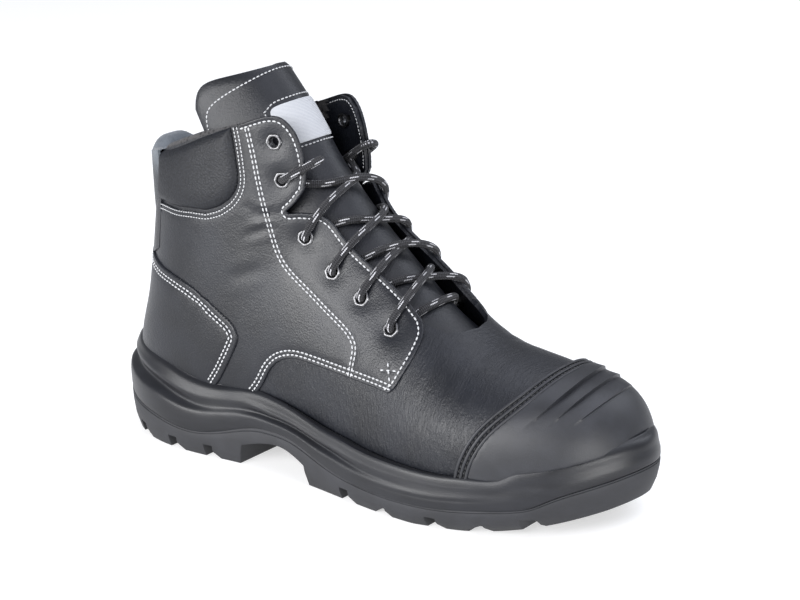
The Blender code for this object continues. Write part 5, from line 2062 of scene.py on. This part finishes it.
def cap_front(step, turn):
    """The section of a step's front edge, at turns in degrees."""
    ridge, bend, middle = step[:3]
    return ridge + bend * (turn - middle) ** 2


def cap_ridges():
    """Lines along the steps' front edges, so that the mesh has an edge there."""
    lines = []
    for step in CAP_STEPS:
        turns = np.linspace(step[2] - step[3], step[2] + step[3], 90)
        for ahead in (-0.12, -0.04, 0.0, 0.05):
            lines.append(even(np.column_stack([cap_front(step, turns) + ahead, np.radians(turns)]), 0.9))
    return lines


def cap_steps(places):
    """Overlapping steps across the toe cap, each rising towards the toe and dropping at its front."""
    section, turn = places[:, 0], np.degrees(places[:, 1])
    total = np.zeros(len(places))
    for step in CAP_STEPS:
        middle, reach, height, ramp = step[2:]
        behind = section - cap_front(step, turn)
        rise = np.clip(1 - behind / ramp, 0, 1) ** 1.15 * smooth_step(behind, -0.04, 0.0)
        total += height * rise * (1 - smooth_step(np.abs(turn - middle) / reach, 0.4, 1.0))
    return total


def eyelet_way(row, side):
    """From inside the boot into an eyelet's bore."""
    middle, out, _ = eyelet_frame(row, side)
    return [middle - out * LACE_UNDER, middle - out * 1.0]


def eyelet_bend(row, side, goal):
    """Out of an eyelet's bore and over its rim, towards a goal."""
    middle, out, _ = eyelet_frame(row, side)
    way = goal - middle
    way = unit(way - out * (way @ out))
    return [middle + out * height + way * reach for height, reach in LACE_BEND]


def strand_points(row, side, radius):
    """Out of an eyelet, over the facing, across the tongue and up under the next eyelet opposite."""
    (section, turn), above = EYELET_ROWS[row], EYELET_ROWS[row - 1][0]
    spot = section + STRAND_EDGE[row][side > 0] * (above - section)
    throat = float(shell_throat(np.array(spot), side))
    edge = upper_offset(spot, side * throat, radius + 0.2 * QUARTER_HEIGHT)
    on_facing = (section + spot) / 2, side * (math.radians(turn) + throat) / 2
    facing = upper_offset(*on_facing, radius + QUARTER_HEIGHT)
    over = (row % 2 == 1) == (side < 0)
    lift = radius + LACE_ROOM + (CROSS_LIFT * radius if over else 0.0)
    crossing = tongue_over(section + CROSS_SHARE * (above - section), 0.0, lift)
    under = section + UNDER_SHARE * (above - section)
    far = tongue_over(under, -UNDER_ACROSS * side, radius + LACE_ROOM)
    middle, out, _ = eyelet_frame(row - 1, -side)
    bend = eyelet_bend(row, side, edge)
    return [*eyelet_way(row, side), *bend, facing, edge, crossing, far, middle - out * LACE_UNDER]


def tail_points(side):
    """Out of the second eyelet, over the facing's edge and in between facing and tongue."""
    section = EYELET_ROWS[1][0]
    edge = float(shell_throat(np.array(section), side))
    bend = eyelet_bend(1, side, upper_point(section, side * edge))
    return bend + [upper_offset(section, side * (edge + turn), height) for turn, height in LACE_END_ROWS]


def tongue_rows():
    """Stitch rows on the tongue: inside its edge and round the label."""
    lift = 0.15
    rows = []
    for table in (TONGUE_ROW, LABEL_ROW):
        half = np.array(table)
        whole = np.concatenate([half * (1, -1), half[-2::-1]])
        knots = np.arange(len(whole))
        line = spline(knots, whole)(np.linspace(0, knots[-1], 160))
        rows.append(tongue_point(*line.T) + tongue_out(*line.T) * lift)
    return rows


class BOOT_PT_panel(bpy.types.Panel):
    """Lists the boot's pieces, sizes and colours."""

    bl_label = "Safety boot"
    bl_idname = "BOOT_PT_panel"
    bl_space_type = "VIEW_3D"
    bl_region_type = "UI"
    bl_category = "Boot"

    def draw(self, context):
        for group in (context.scene.boot_sizes, context.scene.boot_colours):
            for name in group.__annotations__:
                self.layout.prop(group, name)
        for operator in OPERATORS:
            self.layout.operator(operator.bl_idname)


GROUPS = (BootSizes, BootColours)
OPERATORS = (
    BOOT_OT_stage,
    BOOT_OT_lace_tails,
    BOOT_OT_outsole,
    BOOT_OT_midsole,
    BOOT_OT_shell,
    BOOT_OT_quarters,
    BOOT_OT_counter,
    BOOT_OT_collar,
    BOOT_OT_toe_cap,
    BOOT_OT_tongue,
    BOOT_OT_eyelets,
    BOOT_OT_lace,
    BOOT_OT_stitching,
    BOOT_OT_insole,
)
CLASSES = (*GROUPS, *OPERATORS, BOOT_PT_panel)


def register():
    for cls in CLASSES:
        bpy.utils.register_class(cls)
    bpy.types.Scene.boot_sizes = bpy.props.PointerProperty(type=BootSizes)
    bpy.types.Scene.boot_colours = bpy.props.PointerProperty(type=BootColours)


def unregister():
    del bpy.types.Scene.boot_colours
    del bpy.types.Scene.boot_sizes
    for cls in reversed(CLASSES):
        bpy.utils.unregister_class(cls)


def main():
    register()
    for operator in OPERATORS:
        group, name = operator.bl_idname.split(".")
        getattr(getattr(bpy.ops, group), name)()


if __name__ == "__main__":
    main()
